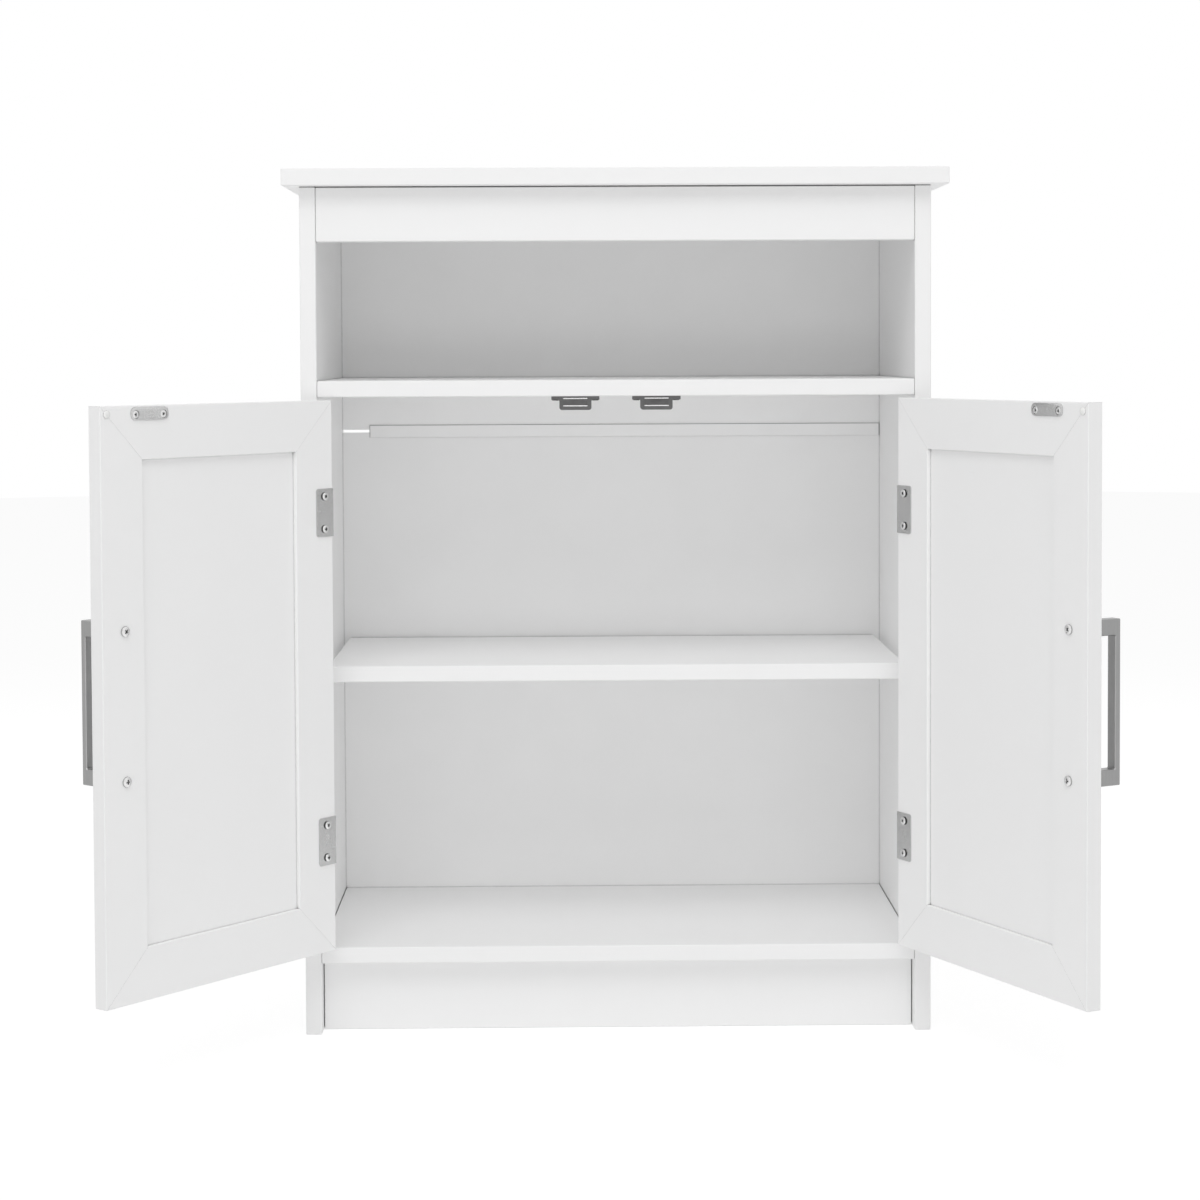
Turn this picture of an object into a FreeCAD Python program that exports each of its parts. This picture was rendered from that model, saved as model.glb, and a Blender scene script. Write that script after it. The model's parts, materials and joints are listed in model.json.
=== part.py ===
import FreeCAD, Part
import Sketcher
import os
import re

# Bathroom floor cabinet of laminated board: an open cubby under the top, and below it a cupboard with one
# loose shelf behind two inset doors with mitred frames, shown standing open.
# Frame: +Z up, front towards -Y, origin on the floor at the middle of the toe kick. Millimetres, degrees.

SIZES = [
    ("board", 15, "thickness of the sides, shelves, rails and door frames"),
    ("top_board", 16, "thickness of the top panel"),
    ("inner_width", 556, "clear width between the side panels"),
    ("carcass_depth", 280, "depth of the side panels"),
    ("kick_height", 67, "floor to the underside of the bottom panel"),
    ("cupboard_height", 515, "clear height behind the doors"),
    ("cubby_height", 180, "fixed shelf to the underside of the top panel"),
    ("top_side_overhang", 15, "top panel past each side panel"),
    ("top_front_overhang", 15, "top panel past the front edges of the sides"),
    ("rail_height", 51, "height of the rail under the top panel"),
    ("kick_recess", 18, "front edges of the sides back to the toe kick"),
    ("edge_ease", 0.8, "bevel of every board edge"),
    ("joint_gap", 0.25, "ends of the cross boards to the side panels"),
    ("rail_drop", 0.5, "top panel down to the rail"),

    ("back_board", 3, "thickness of the back panels"),
    ("back_setback", 15, "rear edges of the sides forward to the back panels"),
    ("groove_depth", 6, "depth of the grooves that hold the back panels"),
    ("groove_play", 0.2, "spare width and depth of a groove"),
    ("joiner_drop", 40, "underside of the fixed shelf down to the joiner strip's middle"),
    ("joiner_height", 13, "height of the joiner strip between the back panels"),
    ("joiner_web", 2.5, "web of the joiner strip, between the two back panels"),
    ("joiner_flange", 1, "flange thickness of the joiner strip"),
    ("joiner_shortfall", 28, "stretch at the left side that the joiner strip leaves open"),
    ("joiner_end_play", 0.5, "joiner strip to the right side panel"),

    ("shelf_rise", 246, "bottom panel up to the underside of the loose shelf"),
    ("shelf_end_play", 6, "loose shelf to each side panel"),
    ("shelf_setback", 24.5, "front edges of the sides back to the loose shelf"),
    ("shelf_back_play", 1.5, "loose shelf to the back panel"),
    ("peg_front", 60, "front edges of the sides back to the front shelf pins"),
    ("peg_back", 45, "back panel forward to the rear shelf pins"),
    ("peg_radius", 2.5, "shank of a shelf pin"),
    ("peg_flat", 2, "pin axis up to the flat that carries the shelf"),
    ("peg_sink", 9, "shelf pin inside the side panel"),
    ("peg_reach", 13, "shelf pin under the shelf"),
    ("peg_collar_radius", 4, "collar of a shelf pin"),
    ("peg_collar", 1.2, "thickness of a shelf pin's collar"),
    ("seat_play", 0.05, "loose shelf above its pins"),

    ("joint_inset", 50, "board edge to the cam joints"),
    ("dowel_pitch", 32, "cam joint to the dowel beside it"),
    ("upright_pitch", 26, "cam joint to the dowel in the ends of the rail and the toe kick"),
    ("cam_radius", 7.5, "cam lock"),
    ("cam_depth", 12, "cam lock, from the board's face"),
    ("cam_reach", 24, "board end to the cam lock's middle"),
    ("bolt_radius", 3, "shank of a cam bolt"),
    ("bolt_neck_radius", 2, "neck that the cam lock grips"),
    ("bolt_neck", 4, "length of the neck"),
    ("bolt_head", 3, "length of a cam bolt's head"),
    ("thread_radius", 2.6, "screwed end of a cam bolt"),
    ("thread_depth", 10, "screwed end in the mating board"),
    ("dowel_radius", 4, "wood dowel"),
    ("dowel_length", 30, "wood dowel, end to end"),
    ("dowel_sink", 11, "wood dowel in the mating board"),
    ("wood_play", 0.1, "radial room round pieces that sit in drilled holes"),

    ("side_gap", 2.5, "side panel to the closed door's hinge edge"),
    ("middle_gap", 3, "between the closed doors"),
    ("end_gap", 2.5, "closed door to the shelf above and the panel below"),
    ("frame_width", 46, "face width of the stiles and rails of a door"),
    ("frame_ease", 0.5, "bevel of the door frame's edges"),
    ("mitre_play", 0.15, "height that a stile's ends stand clear of the rails"),
    ("panel_board", 5, "thickness of a door's panel"),
    ("panel_tongue", 6, "door panel inside the frame's groove"),
    ("inner_recess", 4, "inner face of the frame down to the door panel"),
    ("left_open", 129.3, "angle that the left door stands open"),
    ("right_open", 117.3, "angle that the right door stands open"),

    ("axis_front", 4, "front edges of the sides forward to the hinge axis"),
    ("hinge_offset", 103, "door end to the middle of a hinge"),
    ("leaf", 1, "thickness of a hinge leaf"),
    ("leaf_height", 44, "height of a hinge leaf"),
    ("leaf_corner", 1.5, "bevel of a leaf's free corners"),
    ("door_leaf_width", 21, "door edge to the door leaf's free end"),
    ("frame_leaf_depth", 36, "front edges of the sides back to the frame leaf's free end"),
    ("barrel_radius", 2.75, "outside of a hinge knuckle"),
    ("hinge_pin_radius", 1.25, "hinge pin"),
    ("pin_play", 0.05, "radial room of the pin in the knuckles"),
    ("pin_cap", 0.8, "height of the pin's caps"),
    ("pin_cap_radius", 2.2, "radius of the pin's caps"),
    ("knuckle", 12, "length of each end knuckle"),
    ("knuckle_gap", 0.3, "room between the knuckles"),
    ("leaf_screw_pitch", 30, "between the two screws of a leaf"),
    ("leaf_screw_edge", 11, "door edge to the door leaf's screws"),
    ("frame_screw_depth", 27, "front edges of the sides back to the frame leaf's screws"),

    ("screw_radius", 1.6, "wood screw shank"),
    ("screw_length", 12, "wood screw under its head"),
    ("screw_head_radius", 3.75, "wood screw head"),
    ("screw_head", 2, "height of a wood screw head"),
    ("screw_rim", 0.8, "straight rim of a wood screw head"),
    ("flat_radius", 1.5, "small screw shank"),
    ("flat_length", 10, "small screw under its head"),
    ("flat_head_radius", 3, "small screw head"),
    ("flat_head", 1.1, "height of a small screw head"),
    ("flat_rim", 0.9, "straight rim of a small screw head"),
    ("machine_radius", 2, "handle screw shank"),
    ("machine_bite", 10, "handle screw inside the handle"),
    ("machine_head_radius", 4.5, "handle screw head"),
    ("machine_head", 2.2, "height of a handle screw head"),
    ("machine_rim", 0.8, "straight rim of a handle screw head"),

    ("handle_spacing", 128, "between the handle's two screws"),
    ("handle_leg", 14, "height of a handle leg"),
    ("handle_bar", 5.5, "thickness of the handle's bar"),
    ("handle_width", 10.5, "width of the handle's bar and legs"),
    ("handle_reach", 36, "door face to the outside of the bar"),
    ("handle_edge", 24.5, "door's free edge to the handle's middle"),
    ("handle_ease", 0.6, "bevel of the handle's edges"),

    ("strike_length", 45, "strike plate, end to end"),
    ("strike_height", 12.5, "strike plate"),
    ("strike_board", 1.2, "thickness of the strike plate"),
    ("strike_corner", 5, "rounding of the strike plate's ends"),
    ("strike_edge", 54, "door's free edge to the middle of the strike plate"),
    ("strike_drop", 7.5, "door's top edge to the middle of the strike plate"),
    ("strike_screw_pitch", 31, "between the strike plate's screws"),
    ("bumper_radius", 3.5, "bumper dot"),
    ("bumper_height", 1.8, "bumper dot"),
    ("bumper_bevel", 1, "bevel of the bumper dot"),
    ("bumper_edge", 7, "door's free and top edges to the bumper's middle"),

    ("catch_offset", 38, "middle of the cabinet to the middle of a catch"),
    ("catch_width", 30, "body of a magnetic catch"),
    ("catch_flange", 45, "catch across its ears"),
    ("catch_ear", 3.7, "thickness of the ears"),
    ("catch_drop", 13.2, "height of the catch's body"),
    ("catch_depth", 14, "catch, front to rear"),
    ("catch_corner", 2.5, "rounding of the catch's lower corners"),
    ("catch_web", 1.5, "rounding between the catch's body and its ears"),
    ("catch_play", 0.2, "catch to the closed door's strike plate"),
    ("pole_width", 22.5, "pole plate and magnet across"),
    ("pole_board", 1, "thickness of a pole plate"),
    ("pole_drop", 1.9, "fixed shelf down to the upper pole plate"),
    ("pole_stand", 0.5, "pole plates past the front of the catch"),
    ("pole_depth", 11, "pole plates, front to rear"),
    ("magnet_height", 5.9, "magnet between the pole plates"),
]
ALIASES = {alias for alias, number, note in SIZES}

doc = FreeCAD.newDocument("cabinet")
sheet = doc.addObject("Spreadsheet::Sheet", "dims")
for row, (alias, number, note) in enumerate(SIZES, 1):
    sheet.set(f"A{row}", note)
    sheet.set(f"B{row}", str(number))
    sheet.setAlias(f"B{row}", alias)
doc.recompute()

# Places worked out from the sizes. Depths run back from the front edges of the side panels.
HALF_INNER = "(inner_width / 2)"
FRONT = "(-kick_recess - board / 2)"
BACK_FACE = "(carcass_depth - back_setback - back_board)"
BACK_GROOVE = (f"{BACK_FACE} - groove_play / 2", f"{BACK_FACE} + back_board + groove_play / 2")
BOTTOM_TOP = "(kick_height + board)"
FIXED_UNDER = "(kick_height + board + cupboard_height)"
TOP_UNDER = "(kick_height + 2 * board + cupboard_height + cubby_height)"
JOINER_MIDDLE = f"({FIXED_UNDER} - joiner_drop)"
SHELF_UNDER = f"({BOTTOM_TOP} + shelf_rise)"
SHELF_DEPTH = f"({BACK_FACE} - shelf_back_play - shelf_setback)"
PEG_LEVEL = f"({SHELF_UNDER} - seat_play - peg_flat)"
PEG_DEPTHS = ["peg_front", f"{BACK_FACE} - peg_back"]
CAM_DEPTHS = ["joint_inset", f"{BACK_FACE} - joint_inset"]
DOWEL_DEPTHS = ["joint_inset + dowel_pitch", f"{BACK_FACE} - joint_inset - dowel_pitch"]
RAIL_CAM = "(rail_height / 2 + upright_pitch / 2)"
RAIL_DOWEL = "(rail_height / 2 - upright_pitch / 2)"
KICK_CAM = "(kick_height / 2 + upright_pitch / 2)"
KICK_DOWEL = "(kick_height / 2 - upright_pitch / 2)"

# A door's own frame has its origin on the hinge axis at the door's mid height, X towards the free edge
# and Y towards the inner face. Turned half round about Y, the same frame serves the right door.
DOOR_WIDTH = "((inner_width - 2 * side_gap - middle_gap) / 2)"
HALF_DOOR = "(cupboard_height / 2 - end_gap)"
HINGE_EDGE = "(side_gap / 2)"
FREE_EDGE = f"(side_gap / 2 + {DOOR_WIDTH})"
DOOR_INNER = "(axis_front + board)"
PANEL_LOW = f"({DOOR_INNER} - inner_recess - panel_board)"
PANEL_HIGH = f"({DOOR_INNER} - inner_recess)"
HINGE_LEVEL = f"({HALF_DOOR} - hinge_offset)"
HANDLE_X = f"({FREE_EDGE} - handle_edge)"
STRIKE_X = f"({FREE_EDGE} - strike_edge)"
STRIKE_SCREWS = [f"{STRIKE_X} - strike_screw_pitch / 2", f"{STRIKE_X} + strike_screw_pitch / 2"]
LEAF_SCREW_X = f"({HINGE_EDGE} + leaf_screw_edge)"
AXIS_X = f"({HALF_INNER} - {HINGE_EDGE})"
AXIS_Y = f"({FRONT} - axis_front)"
DOOR_MIDDLE = f"({BOTTOM_TOP} + cupboard_height / 2)"
HINGE_SIDE = {"left": ("-", "rotationz(0)"), "right": ("", "rotationy(180)")}
DOOR_TURN = {"left": "rotationz(-left_open)", "right": "rotationz(right_open) * rotationy(180)"}
DOOR_TOP = {"left": 1, "right": -1}

PLANES = {"x": "YZ_Plane", "y": "XZ_Plane", "z": "XY_Plane"}
# Flats round what is turned or drilled: most on the hinge barrels, fewest inside the boards
BARREL_FLATS = 16
SHOWN_FLATS = 10
HIDDEN_FLATS = 6
CORNER_FLATS = 3
subparts = []


def formula(text):
    """Point each size's name in a formula at its cell."""
    return re.sub(r"[a-z_]+", lambda word: ("dims." if word[0] in ALIASES else "") + word[0], text)


def value(text):
    """What a formula comes to now."""
    return float(sheet.evalExpression(formula(text)))


def placed(x, y, z, turn="rotationz(0)"):
    """A placement formula from a point and a turn."""
    return f"placement(vector({x}; {y}; {z}); {turn})"


def new_body(label, place=None):
    """An empty body: a sub-part of the cabinet where it has a place, and else a pattern for copies."""
    body = doc.addObject("PartDesign::Body", label)
    body.Label = label
    if place:
        body.setExpression("Placement", formula(place))
        subparts.append(body)
    return body


def new_sketch(body, axis, level):
    """A sketch square to an axis of the body, at a level along it."""
    plane = next(item for item in body.Origin.OriginFeatures if item.Role == PLANES[axis])
    sketch = body.newObject("Sketcher::SketchObject", "outline")
    sketch.AttachmentSupport = [(plane, "")]
    sketch.MapMode = "FlatFace"
    sign = "-" if axis == "y" else ""
    sketch.setExpression(".AttachmentOffset.Base.z", formula(f"{sign}({level})"))
    return sketch


def polygons(outlines):
    """Closed outlines of straight lines, each a list of points given as pairs of formulas."""
    def draw(sketch):
        rules, formulas = [], []
        for points in outlines:
            first = sketch.GeometryCount
            spots = [FreeCAD.Vector(value(x), value(y), 0) for x, y in points]
            sketch.addGeometry([Part.LineSegment(*ends) for ends in zip(spots, spots[1:] + spots[:1])])
            for number, (spot, (x, y)) in enumerate(zip(spots, points)):
                line, following = first + number, first + (number + 1) % len(points)
                rules += [Sketcher.Constraint("Coincident", line, 2, following, 1),
                          Sketcher.Constraint("DistanceX", -1, 1, line, 1, spot.x),
                          Sketcher.Constraint("DistanceY", -1, 1, line, 1, spot.y)]
                formulas += [None, x, y]
        for rule, text in zip(sketch.addConstraint(rules), formulas):
            if text:
                sketch.setExpression(f"Constraints[{rule}]", formula(text))
    return draw


def polygon(*points):
    """One closed outline of straight lines."""
    return polygons([points])


def many_sided(spots, radius, flats):
    """Outlines round spots whose flats clear a radius."""
    reach = f"({radius}) / cos({180 / flats})"
    turns = [360 * number / flats for number in range(flats)]
    return polygons([[(f"{x} + {reach} * cos({turn})", f"{y} + {reach} * sin({turn})") for turn in turns]
                     for x, y in spots])


def rectangle(left, right, low, high):
    """An upright rectangle in a sketch."""
    return polygon((left, low), (right, low), (right, high), (left, high))


def soft_cornered(left, right, low, high, radius):
    """An upright rectangle in a sketch, its corners rounded in a few flats."""
    middles = [(f"{right} - {radius}", f"{high} - {radius}"), (f"{left} + {radius}", f"{high} - {radius}"),
               (f"{left} + {radius}", f"{low} + {radius}"), (f"{right} - {radius}", f"{low} + {radius}")]
    points = []
    for quarter, (x, y) in enumerate(middles):
        turns = [90 * (quarter + step / CORNER_FLATS) for step in range(CORNER_FLATS + 1)]
        points += [(f"{x} + {radius} * cos({turn})", f"{y} + {radius} * sin({turn})") for turn in turns]
    return polygon(*points)


def pad(body, axis, low, high, draw):
    """Fill an outline from one level to another along an axis."""
    sketch = new_sketch(body, axis, high if axis == "y" else low)
    draw(sketch)
    feature = body.newObject("PartDesign::Pad", "pad")
    feature.Profile = sketch
    feature.setExpression("Length", formula(f"({high}) - ({low})"))


def cut(body, axis, low, high, draw):
    """Cut an outline away from one level to another along an axis."""
    sketch = new_sketch(body, axis, low if axis == "y" else high)
    draw(sketch)
    feature = body.newObject("PartDesign::Pocket", "pocket")
    feature.Profile = sketch
    feature.setExpression("Length", formula(f"({high}) - ({low})"))


def bar(body, low, high, radius, flats, spot=("0", "0")):
    """A length of round bar along Z."""
    feature = body.newObject("PartDesign::AdditivePrism", "bar")
    feature.Polygon = flats
    feature.setExpression("Circumradius", formula(radius))
    feature.setExpression("Height", formula(f"({high}) - ({low})"))
    feature.setExpression("Placement", formula(placed(*spot, low)))


def drill(body, axis, low, high, spots, radius, flats=HIDDEN_FLATS):
    """Holes along an axis, from one level to another, that clear a radius."""
    cut(body, axis, low, high, many_sided(spots, radius, flats))


def dressed(body, kind, setting, size, picks):
    """Work the edges that a test picks, or all of them."""
    doc.recompute()
    base = body.Tip
    edges = [f"Edge{number}" for number, edge in enumerate(base.Shape.Edges, 1)
             if not picks or picks(edge)]
    feature = body.newObject(f"PartDesign::{kind}", "edges")
    feature.Base = (base, edges)
    feature.setExpression(setting, formula(size))


def rounded(body, radius, picks):
    """Round the edges that a test picks."""
    dressed(body, "Fillet", "Radius", radius, picks)


def bevelled(body, size, picks=None):
    """Bevel the edges that a test picks, or all of them."""
    dressed(body, "Chamfer", "Size", size, picks)


def along(axis, *limits):
    """A test for edges that run along an axis and lie at levels given as (axis, formula) pairs."""
    def picks(edge):
        start, end = (vertex.Point for vertex in (edge.Vertexes[0], edge.Vertexes[-1]))
        run = {name: abs(end["xyz".index(name)] - start["xyz".index(name)]) for name in "xyz"}
        straight = all(run[name] < 1e-6 for name in "xyz" if name != axis) and run[axis] > 1e-6
        return straight and all(abs(start["xyz".index(name)] - value(level)) < 1e-4
                                for name, level in limits)
    return picks


def level_with(axis, level):
    """A test for edges that lie square to an axis, at a level along it."""
    def picks(edge):
        heights = [vertex.Point["xyz".index(axis)] for vertex in edge.Vertexes]
        return all(abs(height - value(level)) < 1e-6 for height in heights)
    return picks


def board_panel(label, place, width, depth, height, end_gap="0"):
    """A board with eased edges in a given width, its own origin at the left, front, lower corner."""
    body = new_body(label, place)
    pad(body, "z", "0", height, rectangle(end_gap, f"{width} - {end_gap}", "0", depth))
    bevelled(body, "edge_ease")
    return body


def copies(label, pattern, places, place="placement(vector(0; 0; 0); rotationz(0))"):
    """A sub-part made of like pieces, each a copy of a pattern at its own place."""
    links = []
    for number, spot in enumerate(places, 1):
        link = doc.addObject("App::Link", f"{label}_{number}")
        link.LinkedObject = pattern
        link.setExpression("Placement", formula(spot))
        links.append(link)
    joined = doc.addObject("Part::Compound", label)
    joined.Label = label
    joined.Links = links
    joined.setExpression("Placement", formula(place))
    subparts.append(joined)


# Patterns for the fasteners. Screws point down Z with their heads above the origin.
def screw_pattern(label, kind, length):
    """A screw with a bevelled head."""
    body = new_body(label)
    head = f"{kind}_head"
    bar(body, "0", head, f"{kind}_head_radius", SHOWN_FLATS)
    bevelled(body, f"{head} - {kind}_rim", level_with("z", head))
    bar(body, f"-({length})", "0", f"{kind}_radius", HIDDEN_FLATS)
    return body


wood_screw = screw_pattern("wood_screw", "screw", "screw_length")
flat_screw = screw_pattern("flat_screw", "flat", "flat_length")
handle_screw = screw_pattern("handle_screw", "machine", "board + machine_bite")

# Cam joints: the origin is on the two boards' meeting plane, X runs into the board that holds the
# cam lock, and the cam lock's open face looks down Z.
CAM_BORE = "(cam_radius + wood_play)"
BOLT_BORE = "(bolt_radius + wood_play)"
cam_lock = new_body("cam_lock")
bar(cam_lock, "-board / 2", "cam_depth - board / 2", "cam_radius", SHOWN_FLATS, ("cam_reach", "0"))
cut(cam_lock, "z", f"-{BOLT_BORE}", BOLT_BORE,
    rectangle("cam_reach - cam_radius - wood_play", "cam_reach + bolt_head / 2 + wood_play",
              f"-{BOLT_BORE}", BOLT_BORE))

NECK_END = "(cam_reach - bolt_head / 2)"
NECK_START = f"({NECK_END} - bolt_neck)"
HEAD_END = "(cam_reach + bolt_head / 2)"
cam_bolt = new_body("cam_bolt")
bar(cam_bolt, "-thread_depth", "0", "thread_radius", HIDDEN_FLATS)
bar(cam_bolt, "0", NECK_START, "bolt_radius", HIDDEN_FLATS)
bar(cam_bolt, NECK_START, NECK_END, "bolt_neck_radius", HIDDEN_FLATS)
bar(cam_bolt, NECK_END, HEAD_END, "bolt_radius", HIDDEN_FLATS)

DOWEL_END = "(dowel_length - dowel_sink)"
wood_dowel = new_body("wood_dowel")
bar(wood_dowel, "-dowel_sink", DOWEL_END, "dowel_radius", HIDDEN_FLATS)

# A shelf pin: Z runs out of the side panel, and the flat under the shelf looks up Y.
shelf_pin = new_body("shelf_pin")
bar(shelf_pin, "-peg_sink", "peg_reach", "peg_radius", SHOWN_FLATS)
bar(shelf_pin, "0", "peg_collar", "peg_collar_radius", SHOWN_FLATS)
cut(shelf_pin, "x", "-peg_collar_radius", "peg_collar_radius",
    rectangle("peg_flat", "peg_collar_radius", "peg_collar", "peg_reach"))


# Side panels
def side_panel(side):
    """A side panel with the grooves and drillings of its inner face."""
    def inner(depth):
        return (f"board - ({depth})", "board") if side == "left" else ("0", depth)

    edge = f"-{HALF_INNER} - board" if side == "left" else HALF_INNER
    place = placed(edge, FRONT, "0")
    body = board_panel(f"{side}_side_panel", place, "board", "carcass_depth", TOP_UNDER)
    cut(body, "x", *inner("groove_depth"), rectangle(*BACK_GROOVE, "0", TOP_UNDER))
    levels = [f"{FIXED_UNDER} + board / 2", "kick_height + board / 2"]
    upright_depths = ["board / 2", "kick_recess + board / 2"]
    bolts = [(depth, level) for level in levels for depth in CAM_DEPTHS]
    bolts += list(zip(upright_depths, [f"{TOP_UNDER} - rail_height + {RAIL_CAM}", KICK_CAM]))
    dowels = [(depth, level) for level in levels for depth in DOWEL_DEPTHS]
    dowels += list(zip(upright_depths, [f"{TOP_UNDER} - rail_height + {RAIL_DOWEL}", KICK_DOWEL]))
    pegs = [(depth, PEG_LEVEL) for depth in PEG_DEPTHS]
    screws = [("frame_screw_depth",
               f"{DOOR_MIDDLE} + {end} * {HINGE_LEVEL} + {step} * leaf_screw_pitch / 2")
              for end in (-1, 1) for step in (-1, 1)]
    drill(body, "x", *inner("thread_depth + wood_play"), bolts, "thread_radius + wood_play")
    drill(body, "x", *inner("dowel_sink + wood_play"), dowels, "dowel_radius + wood_play")
    drill(body, "x", *inner("peg_sink + wood_play"), pegs, "peg_radius + pin_play", SHOWN_FLATS)
    drill(body, "x", *inner("screw_length - leaf + wood_play"), screws, "screw_radius + wood_play")
    # Cam locks near the top edge pull the top panel down, with dowels beside them.
    cams = [(depth, f"{TOP_UNDER} - cam_reach") for depth in CAM_DEPTHS]
    drill(body, "x", *inner("cam_depth"), cams, CAM_BORE, SHOWN_FLATS)
    drill(body, "z", f"{TOP_UNDER} - cam_reach", TOP_UNDER,
          [("board / 2", depth) for depth in CAM_DEPTHS], BOLT_BORE)
    drill(body, "z", f"{TOP_UNDER} - {DOWEL_END} - wood_play", TOP_UNDER,
          [("board / 2", depth) for depth in DOWEL_DEPTHS], "dowel_radius + wood_play")


side_panel("left")
side_panel("right")

# Top panel
TOP_WIDTH = "(inner_width + 2 * board + 2 * top_side_overhang)"
top_panel = board_panel("top_panel",
                        placed(f"-{TOP_WIDTH} / 2", f"{FRONT} - top_front_overhang", TOP_UNDER),
                        TOP_WIDTH, "carcass_depth + top_front_overhang", "top_board")
side_lines = ["top_side_overhang + board / 2", f"{TOP_WIDTH} - top_side_overhang - board / 2"]
cut(top_panel, "z", "0", "groove_depth",
    rectangle("top_side_overhang + board - groove_depth",
              f"{TOP_WIDTH} - top_side_overhang - board + groove_depth",
              *[f"top_front_overhang + {edge}" for edge in BACK_GROOVE]))
drill(top_panel, "z", "0", "thread_depth + wood_play",
      [(line, f"top_front_overhang + {depth}") for line in side_lines for depth in CAM_DEPTHS],
      "thread_radius + wood_play")
drill(top_panel, "z", "0", "dowel_sink + wood_play",
      [(line, f"top_front_overhang + {depth}") for line in side_lines for depth in DOWEL_DEPTHS],
      "dowel_radius + wood_play")


def end_joints(body, face, cams, dowels):
    """Drill a cross board's ends for cams and dowels at (depth, level) pairs; a face holds the cams."""
    middles = ["cam_reach", "inner_width - cam_reach"]
    if face == "under":
        drill(body, "z", "0", "cam_depth",
              [(x, depth) for x in middles for depth, level in cams], CAM_BORE, SHOWN_FLATS)
    else:
        drill(body, "y", "board - cam_depth", "board",
              [(x, level) for x in middles for depth, level in cams], CAM_BORE, SHOWN_FLATS)
    for spots, reach, radius in ((cams, "cam_reach", BOLT_BORE),
                                 (dowels, f"({DOWEL_END} + wood_play)", "dowel_radius + wood_play")):
        drill(body, "x", "0", reach, spots, radius)
        drill(body, "x", f"inner_width - {reach}", "inner_width", spots, radius)


# Cross boards
fixed_shelf = board_panel("fixed_shelf", placed(f"-{HALF_INNER}", FRONT, FIXED_UNDER),
                          "inner_width", f"{BACK_FACE} - groove_play", "board", "joint_gap")
end_joints(fixed_shelf, "under", [(depth, "board / 2") for depth in CAM_DEPTHS],
           [(depth, "board / 2") for depth in DOWEL_DEPTHS])
EAR_X = "((catch_width + catch_flange) / 4)"
CATCH_FRONT = "(board + strike_board + catch_play + pole_stand)"
catch_screw_spots = [(f"inner_width / 2 + {side} * catch_offset + {ear} * {EAR_X}",
                      f"{CATCH_FRONT} + catch_depth / 2") for side in (-1, 1) for ear in (-1, 1)]
drill(fixed_shelf, "z", "0", "flat_length - catch_ear + wood_play", catch_screw_spots,
      "flat_radius + wood_play")

bottom_panel = board_panel("bottom_panel", placed(f"-{HALF_INNER}", FRONT, "kick_height"),
                           "inner_width", "carcass_depth", "board", "joint_gap")
cut(bottom_panel, "z", "board - groove_depth", "board",
    rectangle("0", "inner_width", *BACK_GROOVE))
end_joints(bottom_panel, "under", [(depth, "board / 2") for depth in CAM_DEPTHS],
           [(depth, "board / 2") for depth in DOWEL_DEPTHS])

top_rail = board_panel("top_rail", placed(f"-{HALF_INNER}", FRONT, f"{TOP_UNDER} - rail_height"),
                       "inner_width", "board", "rail_height - rail_drop", "joint_gap")
end_joints(top_rail, "rear", [("board / 2", RAIL_CAM)], [("board / 2", RAIL_DOWEL)])

toe_kick = board_panel("toe_kick", placed(f"-{HALF_INNER}", f"{FRONT} + kick_recess", "0"),
                       "inner_width", "board", "kick_height", "joint_gap")
end_joints(toe_kick, "rear", [("board / 2", KICK_CAM)], [("board / 2", KICK_DOWEL)])

shelf_place = placed(f"-{HALF_INNER} + shelf_end_play", f"{FRONT} + shelf_setback", SHELF_UNDER)
board_panel("middle_shelf", shelf_place, "inner_width - 2 * shelf_end_play", SHELF_DEPTH, "board")


# Back: two thin panels in the grooves, held together by a strip of H section
def back_panel(label, low, high):
    """One of the thin back panels, from one level to another."""
    reach = f"({HALF_INNER} + groove_depth - groove_play)"
    body = new_body(label, placed("0", f"{FRONT} + {BACK_FACE}", "0"))
    pad(body, "z", low, high, rectangle(f"-{reach}", reach, "0", "back_board"))


back_panel("upper_back_panel", f"{JOINER_MIDDLE} + joiner_web / 2 + groove_play",
           f"{TOP_UNDER} + groove_depth - groove_play")
back_panel("lower_back_panel", f"{BOTTOM_TOP} - groove_depth + groove_play",
           f"{JOINER_MIDDLE} - joiner_web / 2 - groove_play")
joiner = new_body("back_joiner_strip", placed("0", f"{FRONT} + {BACK_FACE}", JOINER_MIDDLE))
slot_low = "(-groove_play / 2)"
slot_high = "(back_board + groove_play / 2)"
joiner_ends = (f"-{HALF_INNER} + joiner_shortfall", f"{HALF_INNER} - joiner_end_play")
pad(joiner, "x", *joiner_ends,
    rectangle(f"{slot_low} - joiner_flange", f"{slot_high} + joiner_flange",
              "-joiner_height / 2", "joiner_height / 2"))
for low, high in (("-joiner_height / 2", "-joiner_web / 2"), ("joiner_web / 2", "joiner_height / 2")):
    cut(joiner, "x", *joiner_ends, rectangle(slot_low, slot_high, low, high))

# Cam joints and dowels: each place is a point on the meeting plane and the turn that lays the joint there
SHELF_TURN = {"-": "rotationz(0)", "": "rotationz(180)"}
UPRIGHT_TURN = {"-": "rotationx(90)", "": "rotationx(90) * rotationz(180)"}
TOP_TURN = {"-": "rotationy(90) * rotationx(180)", "": "rotationy(90)"}


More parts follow.
